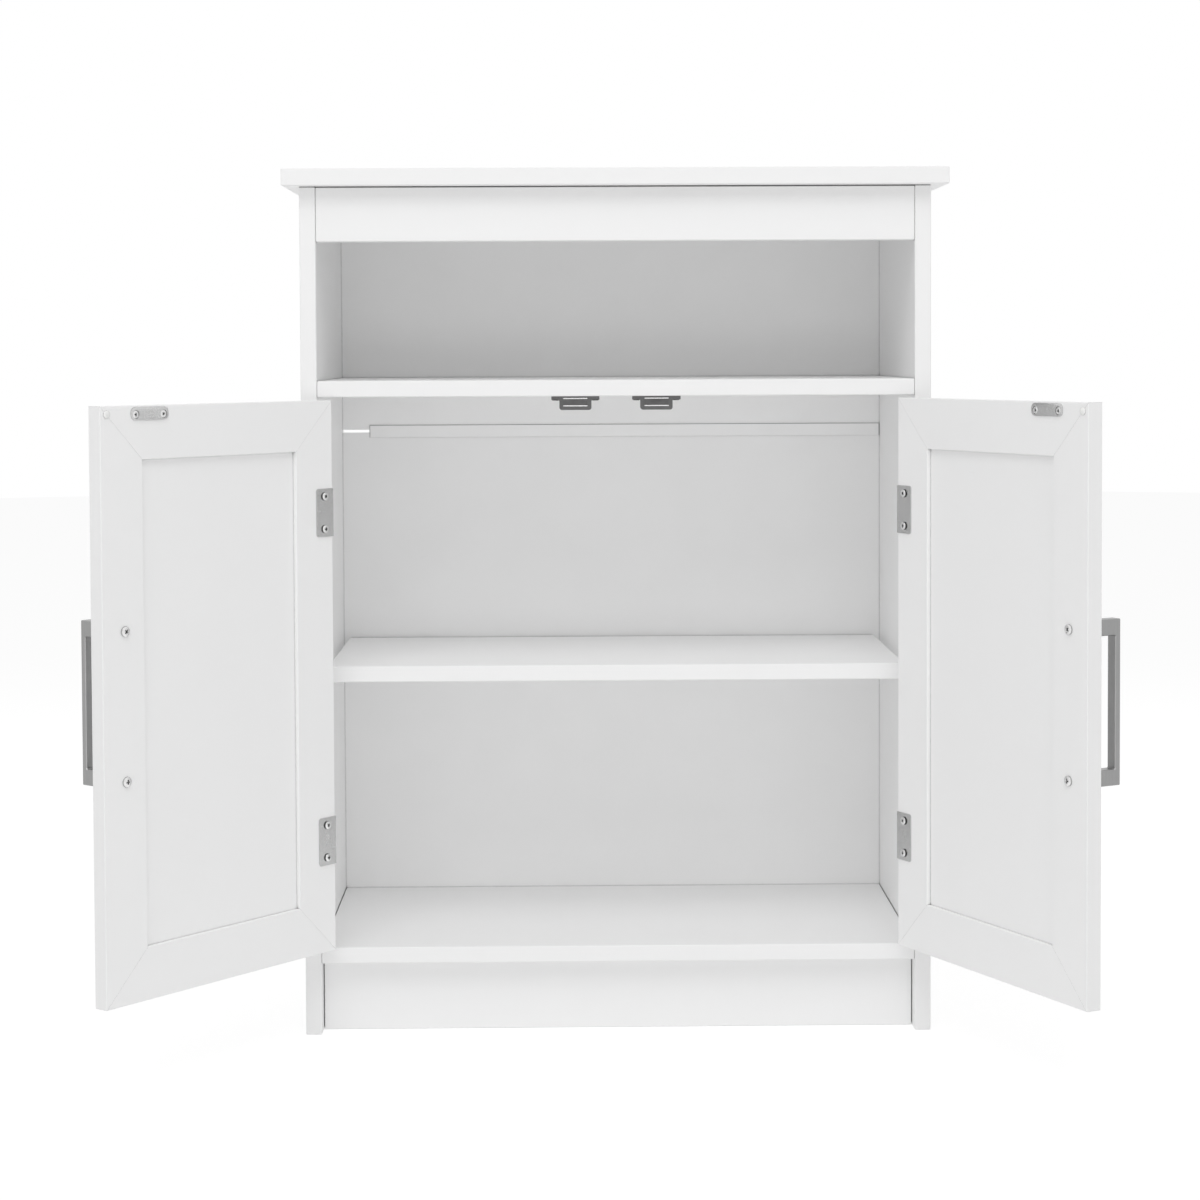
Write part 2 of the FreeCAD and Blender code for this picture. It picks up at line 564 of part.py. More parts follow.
def joint_places(shelf_depths, rail_level, kick_level):
    """Places of one kind of fastener, at both ends of every board."""
    places = []
    for sign in ("-", ""):
        wall = f"{sign}{HALF_INNER}"
        for level in (f"{FIXED_UNDER} + board / 2", "kick_height + board / 2"):
            places += [(wall, f"{FRONT} + {depth}", level, SHELF_TURN[sign]) for depth in shelf_depths]
        places.append((wall, f"{FRONT} + board / 2", f"{TOP_UNDER} - rail_height + {rail_level}",
                       UPRIGHT_TURN[sign]))
        places.append((wall, f"{FRONT} + kick_recess + board / 2", kick_level, UPRIGHT_TURN[sign]))
        places += [(f"{sign}({HALF_INNER} + board / 2)", f"{FRONT} + {depth}", TOP_UNDER, TOP_TURN[sign])
                   for depth in shelf_depths]
    return places


cam_places = joint_places(CAM_DEPTHS, RAIL_CAM, KICK_CAM)
dowel_places = joint_places(DOWEL_DEPTHS, RAIL_DOWEL, KICK_DOWEL)
copies("cam_locks", cam_lock, [placed(*place) for place in cam_places])
for label, pattern, spots in (("cam_bolts", cam_bolt, cam_places),
                              ("wood_dowels", wood_dowel, dowel_places)):
    copies(label, pattern, [placed(x, y, z, f"{turn} * rotationy(90)") for x, y, z, turn in spots])

PIN_TURN = {"-": "rotationz(90) * rotationx(90)", "": "rotationz(-90) * rotationx(90)"}
copies("shelf_pins", shelf_pin,
       [placed(f"{sign}{HALF_INNER}", f"{FRONT} + {depth}", PEG_LEVEL, PIN_TURN[sign])
        for sign in ("-", "") for depth in PEG_DEPTHS])


# Hinges: each has a leaf on the side panel, a leaf that wraps the door's edge, and a pin through both
HALF_LEAF = "(leaf_height / 2)"
MIDDLE_KNUCKLE = f"({HALF_LEAF} - knuckle - knuckle_gap)"
BARREL_CLEAR = "(barrel_radius + knuckle_gap)"
PIN_BORE = "(hinge_pin_radius + pin_play)"


def knuckle_pads(body, low, high, neck_left, neck_right):
    """A knuckle round the axis and the neck that carries it to its leaf."""
    bar(body, low, high, "barrel_radius", BARREL_FLATS)
    pad(body, "z", low, high, rectangle(neck_left, neck_right, "0", f"{BARREL_CLEAR} + leaf"))


def frame_leaf(label, place):
    """The leaf on the side panel, with the two end knuckles."""
    body = new_body(label, place)
    left, right = f"-{HINGE_EDGE}", f"-{HINGE_EDGE} + leaf"
    free_end = "axis_front + frame_leaf_depth"
    pad(body, "x", left, right, rectangle(BARREL_CLEAR, free_end, f"-{HALF_LEAF}", HALF_LEAF))
    bevelled(body, "leaf_corner", along("x", ("y", free_end)))
    knuckle_pads(body, f"{HALF_LEAF} - knuckle", HALF_LEAF, left, right)
    knuckle_pads(body, f"-{HALF_LEAF}", f"knuckle - {HALF_LEAF}", left, right)
    drill(body, "z", f"-{HALF_LEAF}", HALF_LEAF, [("0", "0")], PIN_BORE, SHOWN_FLATS)
    drill(body, "x", left, right, [("axis_front + frame_screw_depth", f"{step} * leaf_screw_pitch / 2")
                                   for step in (-1, 1)], "screw_radius + wood_play")


def door_leaf(label, place):
    """The leaf that wraps the door's edge onto its inner face, with the middle knuckle."""
    body = new_body(label, place)
    left, right = f"{HINGE_EDGE} - leaf", HINGE_EDGE
    free_end = f"{HINGE_EDGE} + door_leaf_width"
    face = f"({DOOR_INNER} + leaf)"
    pad(body, "z", f"-{HALF_LEAF}", HALF_LEAF,
        polygon((left, BARREL_CLEAR), (right, BARREL_CLEAR), (right, DOOR_INNER), (free_end, DOOR_INNER),
                (free_end, face), (left, face)))
    bevelled(body, "leaf_corner", along("y", ("x", free_end)))
    rounded(body, "leaf", along("z", ("x", left), ("y", face)))
    knuckle_pads(body, f"-{MIDDLE_KNUCKLE}", MIDDLE_KNUCKLE, left, right)
    drill(body, "z", f"-{MIDDLE_KNUCKLE}", MIDDLE_KNUCKLE, [("0", "0")], PIN_BORE, SHOWN_FLATS)
    drill(body, "y", DOOR_INNER, face,
          [(LEAF_SCREW_X, f"{step} * leaf_screw_pitch / 2") for step in (-1, 1)],
          "screw_radius + wood_play")


def hinge_pin(label, place):
    """A pin with a cap at each end of the barrel."""
    body = new_body(label, place)
    bar(body, f"-{HALF_LEAF}", HALF_LEAF, "hinge_pin_radius", SHOWN_FLATS)
    bar(body, HALF_LEAF, f"{HALF_LEAF} + pin_cap", "pin_cap_radius", SHOWN_FLATS)
    bar(body, f"-{HALF_LEAF} - pin_cap", f"-{HALF_LEAF}", "pin_cap_radius", SHOWN_FLATS)


def door_place(side):
    """Where a door's own frame stands."""
    return placed(f"{HINGE_SIDE[side][0]}{AXIS_X}", AXIS_Y, DOOR_MIDDLE, DOOR_TURN[side])


frame_screw_places = []
for side, (sign, turn) in HINGE_SIDE.items():
    for end, step in (("upper", 1), ("lower", -1)):
        stand = placed(f"{sign}{AXIS_X}", AXIS_Y, f"{DOOR_MIDDLE} + {step} * {HINGE_LEVEL}", turn)
        frame_leaf(f"{side}_{end}_hinge_frame_leaf", stand)
        hinge_pin(f"{side}_{end}_hinge_pin", stand)
        lift = placed("0", "0", f"{step * DOOR_TOP[side]} * {HINGE_LEVEL}")
        door_leaf(f"{side}_{end}_hinge_door_leaf", f"{door_place(side)} * {lift}")
        for way in (-1, 1):
            head = placed(f"-{HINGE_EDGE} + leaf", "axis_front + frame_screw_depth",
                          f"{way} * leaf_screw_pitch / 2", "rotationy(90)")
            frame_screw_places.append(f"{stand} * {head}")
copies("hinge_frame_screws", wood_screw, frame_screw_places)


# Doors
def frame_member(label, side, outline, axis, low, high, groove):
    """A mitred stile or rail along an axis: an outline with eased long edges, and a groove for the panel."""
    body = new_body(label, door_place(side))
    pad(body, "y", "axis_front", DOOR_INNER, polygon(*outline))
    bevelled(body, "frame_ease", along(axis))
    cut(body, axis, low, high, groove)
    return body


GROOVE_LOW = f"({PANEL_LOW} - groove_play / 2)"
GROOVE_HIGH = f"({PANEL_HIGH} + groove_play / 2)"
GROOVE_REACH = "(panel_tongue + groove_play)"
INNER_TOP = f"({HALF_DOOR} - frame_width)"
INNER_HINGE = f"({HINGE_EDGE} + frame_width)"
INNER_FREE = f"({FREE_EDGE} - frame_width)"
STILE_OUTER = f"({HALF_DOOR} - mitre_play)"
STILE_INNER = f"({INNER_TOP} - mitre_play)"


def door(side):
    """A door with its mitred frame, panel, handle, strike plate and bumper."""
    top = DOOR_TOP[side]

    hinge_stile = frame_member(
        f"{side}_door_hinge_stile", side,
        [(HINGE_EDGE, f"-{STILE_OUTER}"), (INNER_HINGE, f"-{STILE_INNER}"), (INNER_HINGE, STILE_INNER),
         (HINGE_EDGE, STILE_OUTER)],
        "z", f"-{HALF_DOOR}", HALF_DOOR,
        rectangle(f"{INNER_HINGE} - {GROOVE_REACH}", INNER_HINGE, GROOVE_LOW, GROOVE_HIGH))
    leaf_screws = [(LEAF_SCREW_X, f"{end} * {HINGE_LEVEL} + {step} * leaf_screw_pitch / 2")
                   for end in (-1, 1) for step in (-1, 1)]
    drill(hinge_stile, "y", f"{DOOR_INNER} - screw_length + leaf - wood_play", DOOR_INNER, leaf_screws,
          "screw_radius + wood_play")

    lock_stile = frame_member(
        f"{side}_door_lock_stile", side,
        [(FREE_EDGE, f"-{STILE_OUTER}"), (FREE_EDGE, STILE_OUTER), (INNER_FREE, STILE_INNER),
         (INNER_FREE, f"-{STILE_INNER}")],
        "z", f"-{HALF_DOOR}", HALF_DOOR,
        rectangle(INNER_FREE, f"{INNER_FREE} + {GROOVE_REACH}", GROOVE_LOW, GROOVE_HIGH))
    handle_screws = [(HANDLE_X, f"{step} * handle_spacing / 2") for step in (-1, 1)]
    drill(lock_stile, "y", "axis_front", DOOR_INNER, handle_screws, "machine_radius + wood_play")

    strike_level = f"{top} * ({HALF_DOOR} - strike_drop)"
    strike_screws = [(x, strike_level) for x in STRIKE_SCREWS]
    for name, sign in (("top", top), ("bottom", -top)):
        outer, inner = f"{sign} * {HALF_DOOR}", f"{sign} * {INNER_TOP}"
        rail = frame_member(
            f"{side}_door_{name}_rail", side,
            [(HINGE_EDGE, outer), (FREE_EDGE, outer), (INNER_FREE, inner), (INNER_HINGE, inner)],
            "x", HINGE_EDGE, FREE_EDGE,
            rectangle(GROOVE_LOW, GROOVE_HIGH, inner, f"{sign} * ({INNER_TOP} + {GROOVE_REACH})"))
        if name == "top":
            drill(rail, "y", f"{DOOR_INNER} - flat_length", DOOR_INNER, strike_screws,
                  "flat_radius + wood_play")

    panel = new_body(f"{side}_door_panel", door_place(side))
    pad(panel, "y", PANEL_LOW, PANEL_HIGH,
        rectangle(f"{INNER_HINGE} - panel_tongue", f"{INNER_FREE} + panel_tongue",
                  f"-{INNER_TOP} - panel_tongue", f"{INNER_TOP} + panel_tongue"))

    copies(f"{side}_door_hinge_screws", wood_screw,
           [placed(x, f"{DOOR_INNER} + leaf", z, "rotationx(-90)") for x, z in leaf_screws],
           door_place(side))

    # The handle is a square U: two legs on the door's face and a flat bar across them.
    handle = new_body(f"{side}_handle", door_place(side))
    tip = "((handle_spacing + handle_leg) / 2)"
    gap = "((handle_spacing - handle_leg) / 2)"
    bar_out, bar_in = "(axis_front - handle_reach)", "(axis_front - handle_reach + handle_bar)"
    pad(handle, "x", f"{HANDLE_X} - handle_width / 2", f"{HANDLE_X} + handle_width / 2",
        polygon(("axis_front", f"-{tip}"), (bar_out, f"-{tip}"), (bar_out, tip), ("axis_front", tip),
                ("axis_front", gap), (bar_in, gap), (bar_in, f"-{gap}"), ("axis_front", f"-{gap}")))
    bevelled(handle, "handle_ease")
    drill(handle, "y", "axis_front - machine_bite - wood_play", "axis_front", handle_screws,
          "machine_radius + wood_play")
    copies(f"{side}_handle_screws", handle_screw,
           [placed(x, DOOR_INNER, z, "rotationx(-90)") for x, z in handle_screws], door_place(side))

    strike = new_body(f"{side}_strike_plate", door_place(side))
    ends = [f"{STRIKE_X} - strike_length / 2", f"{STRIKE_X} + strike_length / 2"]
    pad(strike, "y", DOOR_INNER, f"{DOOR_INNER} + strike_board",
        soft_cornered(*ends, f"{strike_level} - strike_height / 2", f"{strike_level} + strike_height / 2",
                      "strike_corner"))
    drill(strike, "y", DOOR_INNER, f"{DOOR_INNER} + strike_board", strike_screws,
          "flat_head_radius + wood_play", SHOWN_FLATS)
    copies(f"{side}_strike_screws", flat_screw,
           [placed(x, DOOR_INNER, z, "rotationx(-90)") for x, z in strike_screws], door_place(side))

    corner = placed(f"{FREE_EDGE} - bumper_edge", DOOR_INNER, f"{top} * ({HALF_DOOR} - bumper_edge)",
                    "rotationx(-90)")
    bumper = new_body(f"{side}_door_bumper", f"{door_place(side)} * {corner}")
    bar(bumper, "0", "bumper_height", "bumper_radius", SHOWN_FLATS)
    bevelled(bumper, "bumper_bevel", level_with("z", "bumper_height"))


door("left")
door("right")

# Magnetic catches under the front of the fixed shelf; Z is measured down from the shelf as negative.
POLE_TOP = "(-pole_drop)"
POLE_FOOT = "(-pole_drop - 2 * pole_board - magnet_height)"
POLE_BACK = "(pole_depth - pole_stand)"


def catch_place(sign):
    """A catch stands with its front face behind the closed door's strike plate."""
    return placed(f"{sign}catch_offset", f"{FRONT} + {CATCH_FRONT}", FIXED_UNDER)


for side, sign in (("left", "-"), ("right", "")):
    housing = new_body(f"{side}_catch_housing", catch_place(sign))
    pad(housing, "y", "0", "catch_depth",
        rectangle("-catch_width / 2", "catch_width / 2", "-catch_drop", "0"))
    rounded(housing, "catch_corner", along("y", ("z", "-catch_drop")))
    pad(housing, "z", "-catch_ear", "0",
        rectangle("-catch_flange / 2", "catch_flange / 2", "0", "catch_depth"))
    for edge in ("-catch_width / 2", "catch_width / 2"):
        rounded(housing, "catch_web", along("y", ("x", edge), ("z", "-catch_ear")))
    cut(housing, "y", "0", f"{POLE_BACK} + wood_play",
        rectangle("-pole_width / 2 - wood_play", "pole_width / 2 + wood_play",
                  f"{POLE_FOOT} - wood_play", f"{POLE_TOP} + wood_play"))
    drill(housing, "z", "-catch_ear", "0", [(f"{ear} * {EAR_X}", "catch_depth / 2") for ear in (-1, 1)],
          "flat_radius + wood_play")

HALF_POLE = "(pole_width / 2)"
pole_plate = new_body("pole_plate")
pad(pole_plate, "z", "-pole_board", "0", rectangle(f"-{HALF_POLE}", HALF_POLE, "-pole_stand", POLE_BACK))
magnet = new_body("magnet")
pad(magnet, "z", "-magnet_height", "0", rectangle(f"-{HALF_POLE}", HALF_POLE, "0", POLE_BACK))


def in_catches(*spots):
    """Places in both catches, from places in one."""
    return [f"{catch_place(sign)} * {spot}" for sign in ("-", "") for spot in spots]


copies("catch_pole_plates", pole_plate,
       in_catches(*[placed("0", "0", level) for level in (POLE_TOP, f"{POLE_FOOT} + pole_board")]))
copies("catch_magnets", magnet, in_catches(placed("0", "0", f"{POLE_TOP} - pole_board")))
copies("catch_screws", flat_screw,
       in_catches(*[placed(f"{ear} * {EAR_X}", "catch_depth / 2", "-catch_ear", "rotationx(180)")
                    for ear in (-1, 1)]))

# Every feature has to be sound, and every cut has to take something away, before anything is written.
doc.recompute()
for item in doc.Objects:
    if "Invalid" in item.State or "Error" in item.State:
        raise RuntimeError(f"{item.Label} failed: {item.State}")
    if item.TypeId == "PartDesign::Pocket" and item.Shape.Volume > item.BaseFeature.Shape.Volume - 1e-3:
        raise RuntimeError(f"{item.Label} of {item.getParent().Label} cuts nothing")
os.makedirs("parts", exist_ok=True)
for item in subparts:
    if item.Shape.isNull() or not item.Shape.isValid():
        raise RuntimeError(f"{item.Label} has no sound shape")
for item in subparts:
    item.Shape.exportStep(f"parts/{item.Label}.step")
print(len(subparts), "sub-parts")
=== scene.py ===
"""Bathroom cabinet: finishes for boards and metalware, cross-head screws and fittings, and a pale studio."""
import json
import math

import bmesh
import bpy
import numpy as np
from bpy.props import FloatProperty, FloatVectorProperty, IntProperty, PointerProperty
from mathutils import Matrix, Vector


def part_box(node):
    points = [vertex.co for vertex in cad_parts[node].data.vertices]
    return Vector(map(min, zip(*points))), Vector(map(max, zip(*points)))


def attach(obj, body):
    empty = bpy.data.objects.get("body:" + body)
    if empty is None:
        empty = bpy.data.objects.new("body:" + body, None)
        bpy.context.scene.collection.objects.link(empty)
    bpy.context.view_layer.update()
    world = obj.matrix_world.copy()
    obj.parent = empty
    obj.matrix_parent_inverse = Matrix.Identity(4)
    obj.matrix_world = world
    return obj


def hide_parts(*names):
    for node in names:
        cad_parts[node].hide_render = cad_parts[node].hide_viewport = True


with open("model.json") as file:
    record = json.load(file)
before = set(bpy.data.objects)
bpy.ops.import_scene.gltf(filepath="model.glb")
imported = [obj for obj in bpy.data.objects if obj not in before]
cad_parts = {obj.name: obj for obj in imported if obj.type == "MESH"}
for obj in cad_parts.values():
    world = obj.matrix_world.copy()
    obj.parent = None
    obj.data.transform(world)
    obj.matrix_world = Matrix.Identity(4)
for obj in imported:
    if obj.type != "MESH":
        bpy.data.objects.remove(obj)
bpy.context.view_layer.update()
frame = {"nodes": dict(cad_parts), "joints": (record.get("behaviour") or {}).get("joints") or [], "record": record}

bl_info = {
    "name": "Bathroom Cabinet",
    "version": (1, 0, 0),
    "blender": (4, 5, 0),
    "location": "View3D > Sidebar > Cabinet",
    "description": "Dresses a packed bathroom cabinet and sets it in a pale studio",
    "category": "Object",
}

NODES = frame["nodes"]
BODIES = frame["record"]["behaviour"]["bodies"]
BODY_OF = {node: body for body, members in BODIES.items() for node in members}
SLOT_OF = {part["node"]: part["material_slot"] for part in frame["record"]["subparts"]}
MILLIMETRE = 0.001
# Distances under which two levels, and two points of a mesh, count as one
NEAR = 0.01 * MILLIMETRE
WELD = 0.001 * MILLIMETRE


def colour(name, description, value):
    """A colour that a user can change."""
    return FloatVectorProperty(name=name, description=description, subtype="COLOR", size=3, min=0, max=1,
                               default=value)


def length(name, description, value):
    """A length that a user can change, in metres."""
    return FloatProperty(name=name, description=description, unit="LENGTH", min=0, precision=5,
                         default=value)


def angle(name, description, degrees):
    """An angle that a user can change."""
    return FloatProperty(name=name, description=description, unit="ROTATION", default=math.radians(degrees))


def share(name, description, value):
    """A number from nought to one that a user can change."""
    return FloatProperty(name=name, description=description, subtype="FACTOR", min=0, max=1, default=value)


def watts(name, description, value):
    """A lamp's power that a user can change."""
    return FloatProperty(name=name, description=description, unit="POWER", min=0, default=value)


class CabinetFinishes(bpy.types.PropertyGroup):
    """Colours and textures of the cabinet's surfaces."""
    board: colour("Boards", "White of the laminated boards", (0.93, 0.93, 0.93))
    back: colour("Back", "White of the thin back panels", (0.93, 0.93, 0.93))
    strip: colour("Joiner strip", "White of the plastic strip between the back panels", (0.92, 0.92, 0.92))
    nickel: colour("Satin nickel", "Handles", (0.36, 0.36, 0.36))
    steel: colour("Bright steel", "Hinges, pins, strike and pole plates", (0.66, 0.66, 0.66))
    screw: colour("Screw plating", "Screws", (0.82, 0.82, 0.82))
    zinc: colour("Die-cast zinc", "Cam locks", (0.45, 0.45, 0.46))
    catch: colour("Catch plastic", "Housings of the magnetic catches", (0.17, 0.17, 0.17))
    ferrite: colour("Ferrite", "Magnets of the catches", (0.17, 0.17, 0.17))
    beech: colour("Beech", "Dowels", (0.55, 0.36, 0.2))
    bumper: colour("Bumper", "Soft dots at the door corners", (0.9, 0.9, 0.89))
    peel: length("Orange peel", "Size of the fine ripple in the laminate", 0.0012)
    mottle: length("Mottle", "Size of the faint patches in the laminate", 0.09)
    # Reach of the painted shade in the creases and gaps of the boards
    crease_shade: length("Creases", "How far from a crease or gap the boards begin to darken", 0.0035)
    streak: length("Streak", "Width of a brushed line in the metal", 0.0004)


class CabinetFittings(bpy.types.PropertyGroup):
    """Shapes of the screws, cam locks, strike plates and joiner strip."""
    sides: IntProperty(name="Sides", description="Flats round a turned piece", min=8, max=64, default=28)
    recess_span: share("Recess span", "Cross recess, across, as a share of the head", 0.66)
    recess_blade: share("Recess blade", "Width of the cross recess as a share of the head", 0.23)
    recess_depth: share("Recess depth", "Depth of the cross recess as a share of the head's height", 0.85)
    pitch: length("Thread pitch", "Along a screw from one turn of its thread to the next", 0.0013)
    thread: length("Thread height", "Height of a screw thread over its core", 0.00035)
    strip_flange: length("Strip flange", "Thickness of the joiner strip's flanges", 0.001)
    strip_web: length("Strip web", "Height of the joiner strip's web", 0.0025)
    strip_lip: length("Strip lip", "From the edges of the joiner strip's face to its grooves", 0.0003)
    strip_groove: length("Strip groove", "Width of the grooves in the joiner strip's face", 0.00045)
    strip_sink: length("Strip sink", "Depth of the grooves in the joiner strip's face", 0.0008)
    plate_length: length("Strike plate", "Length of a strike plate", 0.0415)
    plate_height: length("Strike plate height", "Height of a strike plate", 0.011)
    plate_corner: length("Strike plate corner", "Radius of a strike plate's corners", 0.0045)
    strike_head: length("Strike screw", "Radius of the screw heads in the strike plates", 0.0034)
    cam_rim: length("Cam rim", "Bevel and sunk face of a cam lock", 0.0006)
    cam_sink: length("Cam recess", "Depth of a cam lock's cross recess", 0.002)


class CabinetStudio(bpy.types.PropertyGroup):
    """Camera, lamps and floor."""
    eye: FloatVectorProperty(name="Camera", description="Where the camera stands", subtype="XYZ",
                             unit="LENGTH", size=3, default=(-0.0468, -2.3503, 0.64062))
    yaw: angle("Yaw", "Camera turned to the right", 0.7744)
    pitch: angle("Pitch", "Camera tipped down", 2.1521)
    roll: angle("Roll", "Camera turned about its line of sight", -0.254)
    lens: FloatProperty(name="Lens", description="Focal length in millimetres", min=1, default=75.06)
    rise: FloatProperty(name="Lens shift", description="Vertical shift of the lens", default=-0.1307)
    key: watts("Key lamp", "Power of the soft lamp high in front", 20.0)
    low: watts("Low lamp", "Power of the soft lamp near the floor", 5.0)
    high: watts("High lamp", "Power of the soft lamp overhead", 11.0)
    left: watts("Left lamp", "Power of the soft lamp behind, on the left", 6.0)
    right: watts("Right lamp", "Power of the soft lamp behind, on the right", 6.0)
    ambient: share("Ambient", "Light that comes evenly from all round", 0.575)
    floor_radius: length("Floor", "Radius of the floor", 9.0)


def finishes():
    """The scene's settings for colours and textures."""
    return bpy.context.scene.cabinet_finishes


def fittings():
    """The scene's settings for modelled pieces."""
    return bpy.context.scene.cabinet_fittings


def studio():
    """The scene's settings for camera, lamps and floor."""
    return bpy.context.scene.cabinet_studio


# Node trees
def add_node(tree, kind, inputs=None, **settings):
    """A new node with its settings and the values of its named inputs."""
    made = tree.nodes.new(kind)
    made.location = (220 * len(tree.nodes), -60 * (len(tree.nodes) % 4))
    for key, value in settings.items():
        setattr(made, key, value)
    for key, value in (inputs or {}).items():
        if isinstance(value, bpy.types.NodeSocket):
            tree.links.new(value, made.inputs[key])
        else:
            made.inputs[key].default_value = value
    return made


def new_group(name, inputs, outputs):
    """An empty shader node group with named sockets, and its two end nodes."""
    tree = bpy.data.node_groups.new(name, "ShaderNodeTree")
    for label, kind, value in inputs:
        socket = tree.interface.new_socket(label, in_out="INPUT", socket_type=kind)
        if value is not None:
            socket.default_value = value
    for label, kind in outputs:
        tree.interface.new_socket(label, in_out="OUTPUT", socket_type=kind)
    return tree, add_node(tree, "NodeGroupInput"), add_node(tree, "NodeGroupOutput")


def noise(tree, vector, scale, detail=2.0, roughness=0.5):
    """The output of a new noise node."""
    inputs = {"Vector": vector, "Scale": scale, "Detail": detail, "Roughness": roughness}
    return add_node(tree, "ShaderNodeTexNoise", inputs).outputs["Fac"]


def spread(tree, value, low, high, from_low=0.3, from_high=0.7):
    """A value stretched to a new range."""
    made = add_node(tree, "ShaderNodeMapRange", {"Value": value, "From Min": from_low, "From Max": from_high,
                                                 "To Min": low, "To Max": high})
    return made.outputs["Result"]


def arithmetic(tree, operation, first, second):
    """Two values put together."""
    return add_node(tree, "ShaderNodeMath", {0: first, 1: second}, operation=operation).outputs["Value"]


VECTOR, TINT, NUMBER = "NodeSocketVector", "NodeSocketColor", "NodeSocketFloat"
SURFACE = [("Colour", TINT), ("Roughness", NUMBER), ("Height", NUMBER)]


def skin_group():
    """Sheet and moulded surfaces: faint patches of tone, and a fine ripple."""
    found = bpy.data.node_groups.get("skin")
    if found:
        return found
    tree, start, end = new_group(
        "skin",
        [("Vector", VECTOR, None), ("Colour", TINT, None), ("Patch Size", NUMBER, 0.1),
         ("Ripple Size", NUMBER, 0.001), ("Depth of Tone", NUMBER, 0.02), ("Roughness", NUMBER, 0.4)],
        SURFACE)
    vector = start.outputs["Vector"]
    patch = noise(tree, vector, arithmetic(tree, "DIVIDE", 1.0, start.outputs["Patch Size"]), detail=3.0)
    ripple = noise(tree, vector, arithmetic(tree, "DIVIDE", 1.0, start.outputs["Ripple Size"]), detail=2.0)
    depth = arithmetic(tree, "MULTIPLY", patch, start.outputs["Depth of Tone"])
    tone = arithmetic(tree, "SUBTRACT", 1.0, depth)
    fleck = spread(tree, ripple, low=0.995, high=1.0)
    strength = arithmetic(tree, "MULTIPLY", tone, fleck)
    shade = add_node(tree, "ShaderNodeVectorMath", {0: start.outputs["Colour"], "Scale": strength},
                     operation="SCALE")
    tree.links.new(shade.outputs["Vector"], end.inputs["Colour"])
    drift = spread(tree, patch, low=-0.05, high=0.05)
    tree.links.new(arithmetic(tree, "ADD", start.outputs["Roughness"], drift), end.inputs["Roughness"])
    tree.links.new(ripple, end.inputs["Height"])
    return tree


def brushed_group():
    """Brushed and drawn metal: long streaks along one direction, and soft handling marks."""
    found = bpy.data.node_groups.get("brushed")
    if found:
        return found
    tree, start, end = new_group(
        "brushed",
        [("Vector", VECTOR, None), ("Colour", TINT, None), ("Along", VECTOR, None),
         ("Contrast", NUMBER, 0.1), ("Roughness", NUMBER, 0.3)],
        SURFACE)
    stretch = {0: start.outputs["Vector"], 1: start.outputs["Along"]}
    stretched = add_node(tree, "ShaderNodeVectorMath", stretch, operation="MULTIPLY")
    streak = noise(tree, stretched.outputs["Vector"], scale=1.0, detail=4.0, roughness=0.6)
    smudge = noise(tree, start.outputs["Vector"], scale=45.0, detail=2.0)
    dark = spread(tree, streak, low=1.0, high=0.0)
    depth = arithmetic(tree, "MULTIPLY", dark, start.outputs["Contrast"])
    tone = arithmetic(tree, "SUBTRACT", 1.0, depth)
    shade = add_node(tree, "ShaderNodeVectorMath", {0: start.outputs["Colour"], "Scale": tone},
                     operation="SCALE")
    tree.links.new(shade.outputs["Vector"], end.inputs["Colour"])
    brushing = spread(tree, streak, low=-0.05, high=0.05)
    handling = spread(tree, smudge, low=-0.03, high=0.05)
    drift = arithmetic(tree, "ADD", brushing, handling)
    tree.links.new(arithmetic(tree, "ADD", start.outputs["Roughness"], drift), end.inputs["Roughness"])
    tree.links.new(streak, end.inputs["Height"])
    return tree


# Open shares of a point's surroundings at which the painted shade of the boards is full, deep in a gap, and at
# which it ends, clear of a corner
GAP_OPENING = 0.1
CORNER_OPENING = 0.56
# Colour of the painted shadow deep in a gap or recess, and in the creases of the boards
SHADOW = (0.05, 0.05, 0.05, 1)


def crease_shade(tree, place):
    """Painted shade of the boards, by ambient occlusion: how deep a point lies in creases and gaps between boards,
    nothing where they stand on the floor.
    """
    opening = add_node(tree, "ShaderNodeAmbientOcclusion", {"Distance": finishes().crease_shade}, samples=4)
    depth = spread(tree, opening.outputs["AO"], 1.0, 0.0, GAP_OPENING, CORNER_OPENING)
    level = add_node(tree, "ShaderNodeSeparateXYZ", {"Vector": place.outputs["Object"]})
    above = spread(tree, level.outputs["Z"], 0.0, 1.0, finishes().crease_shade / 2, finishes().crease_shade)
    return arithmetic(tree, "MULTIPLY", depth, above)


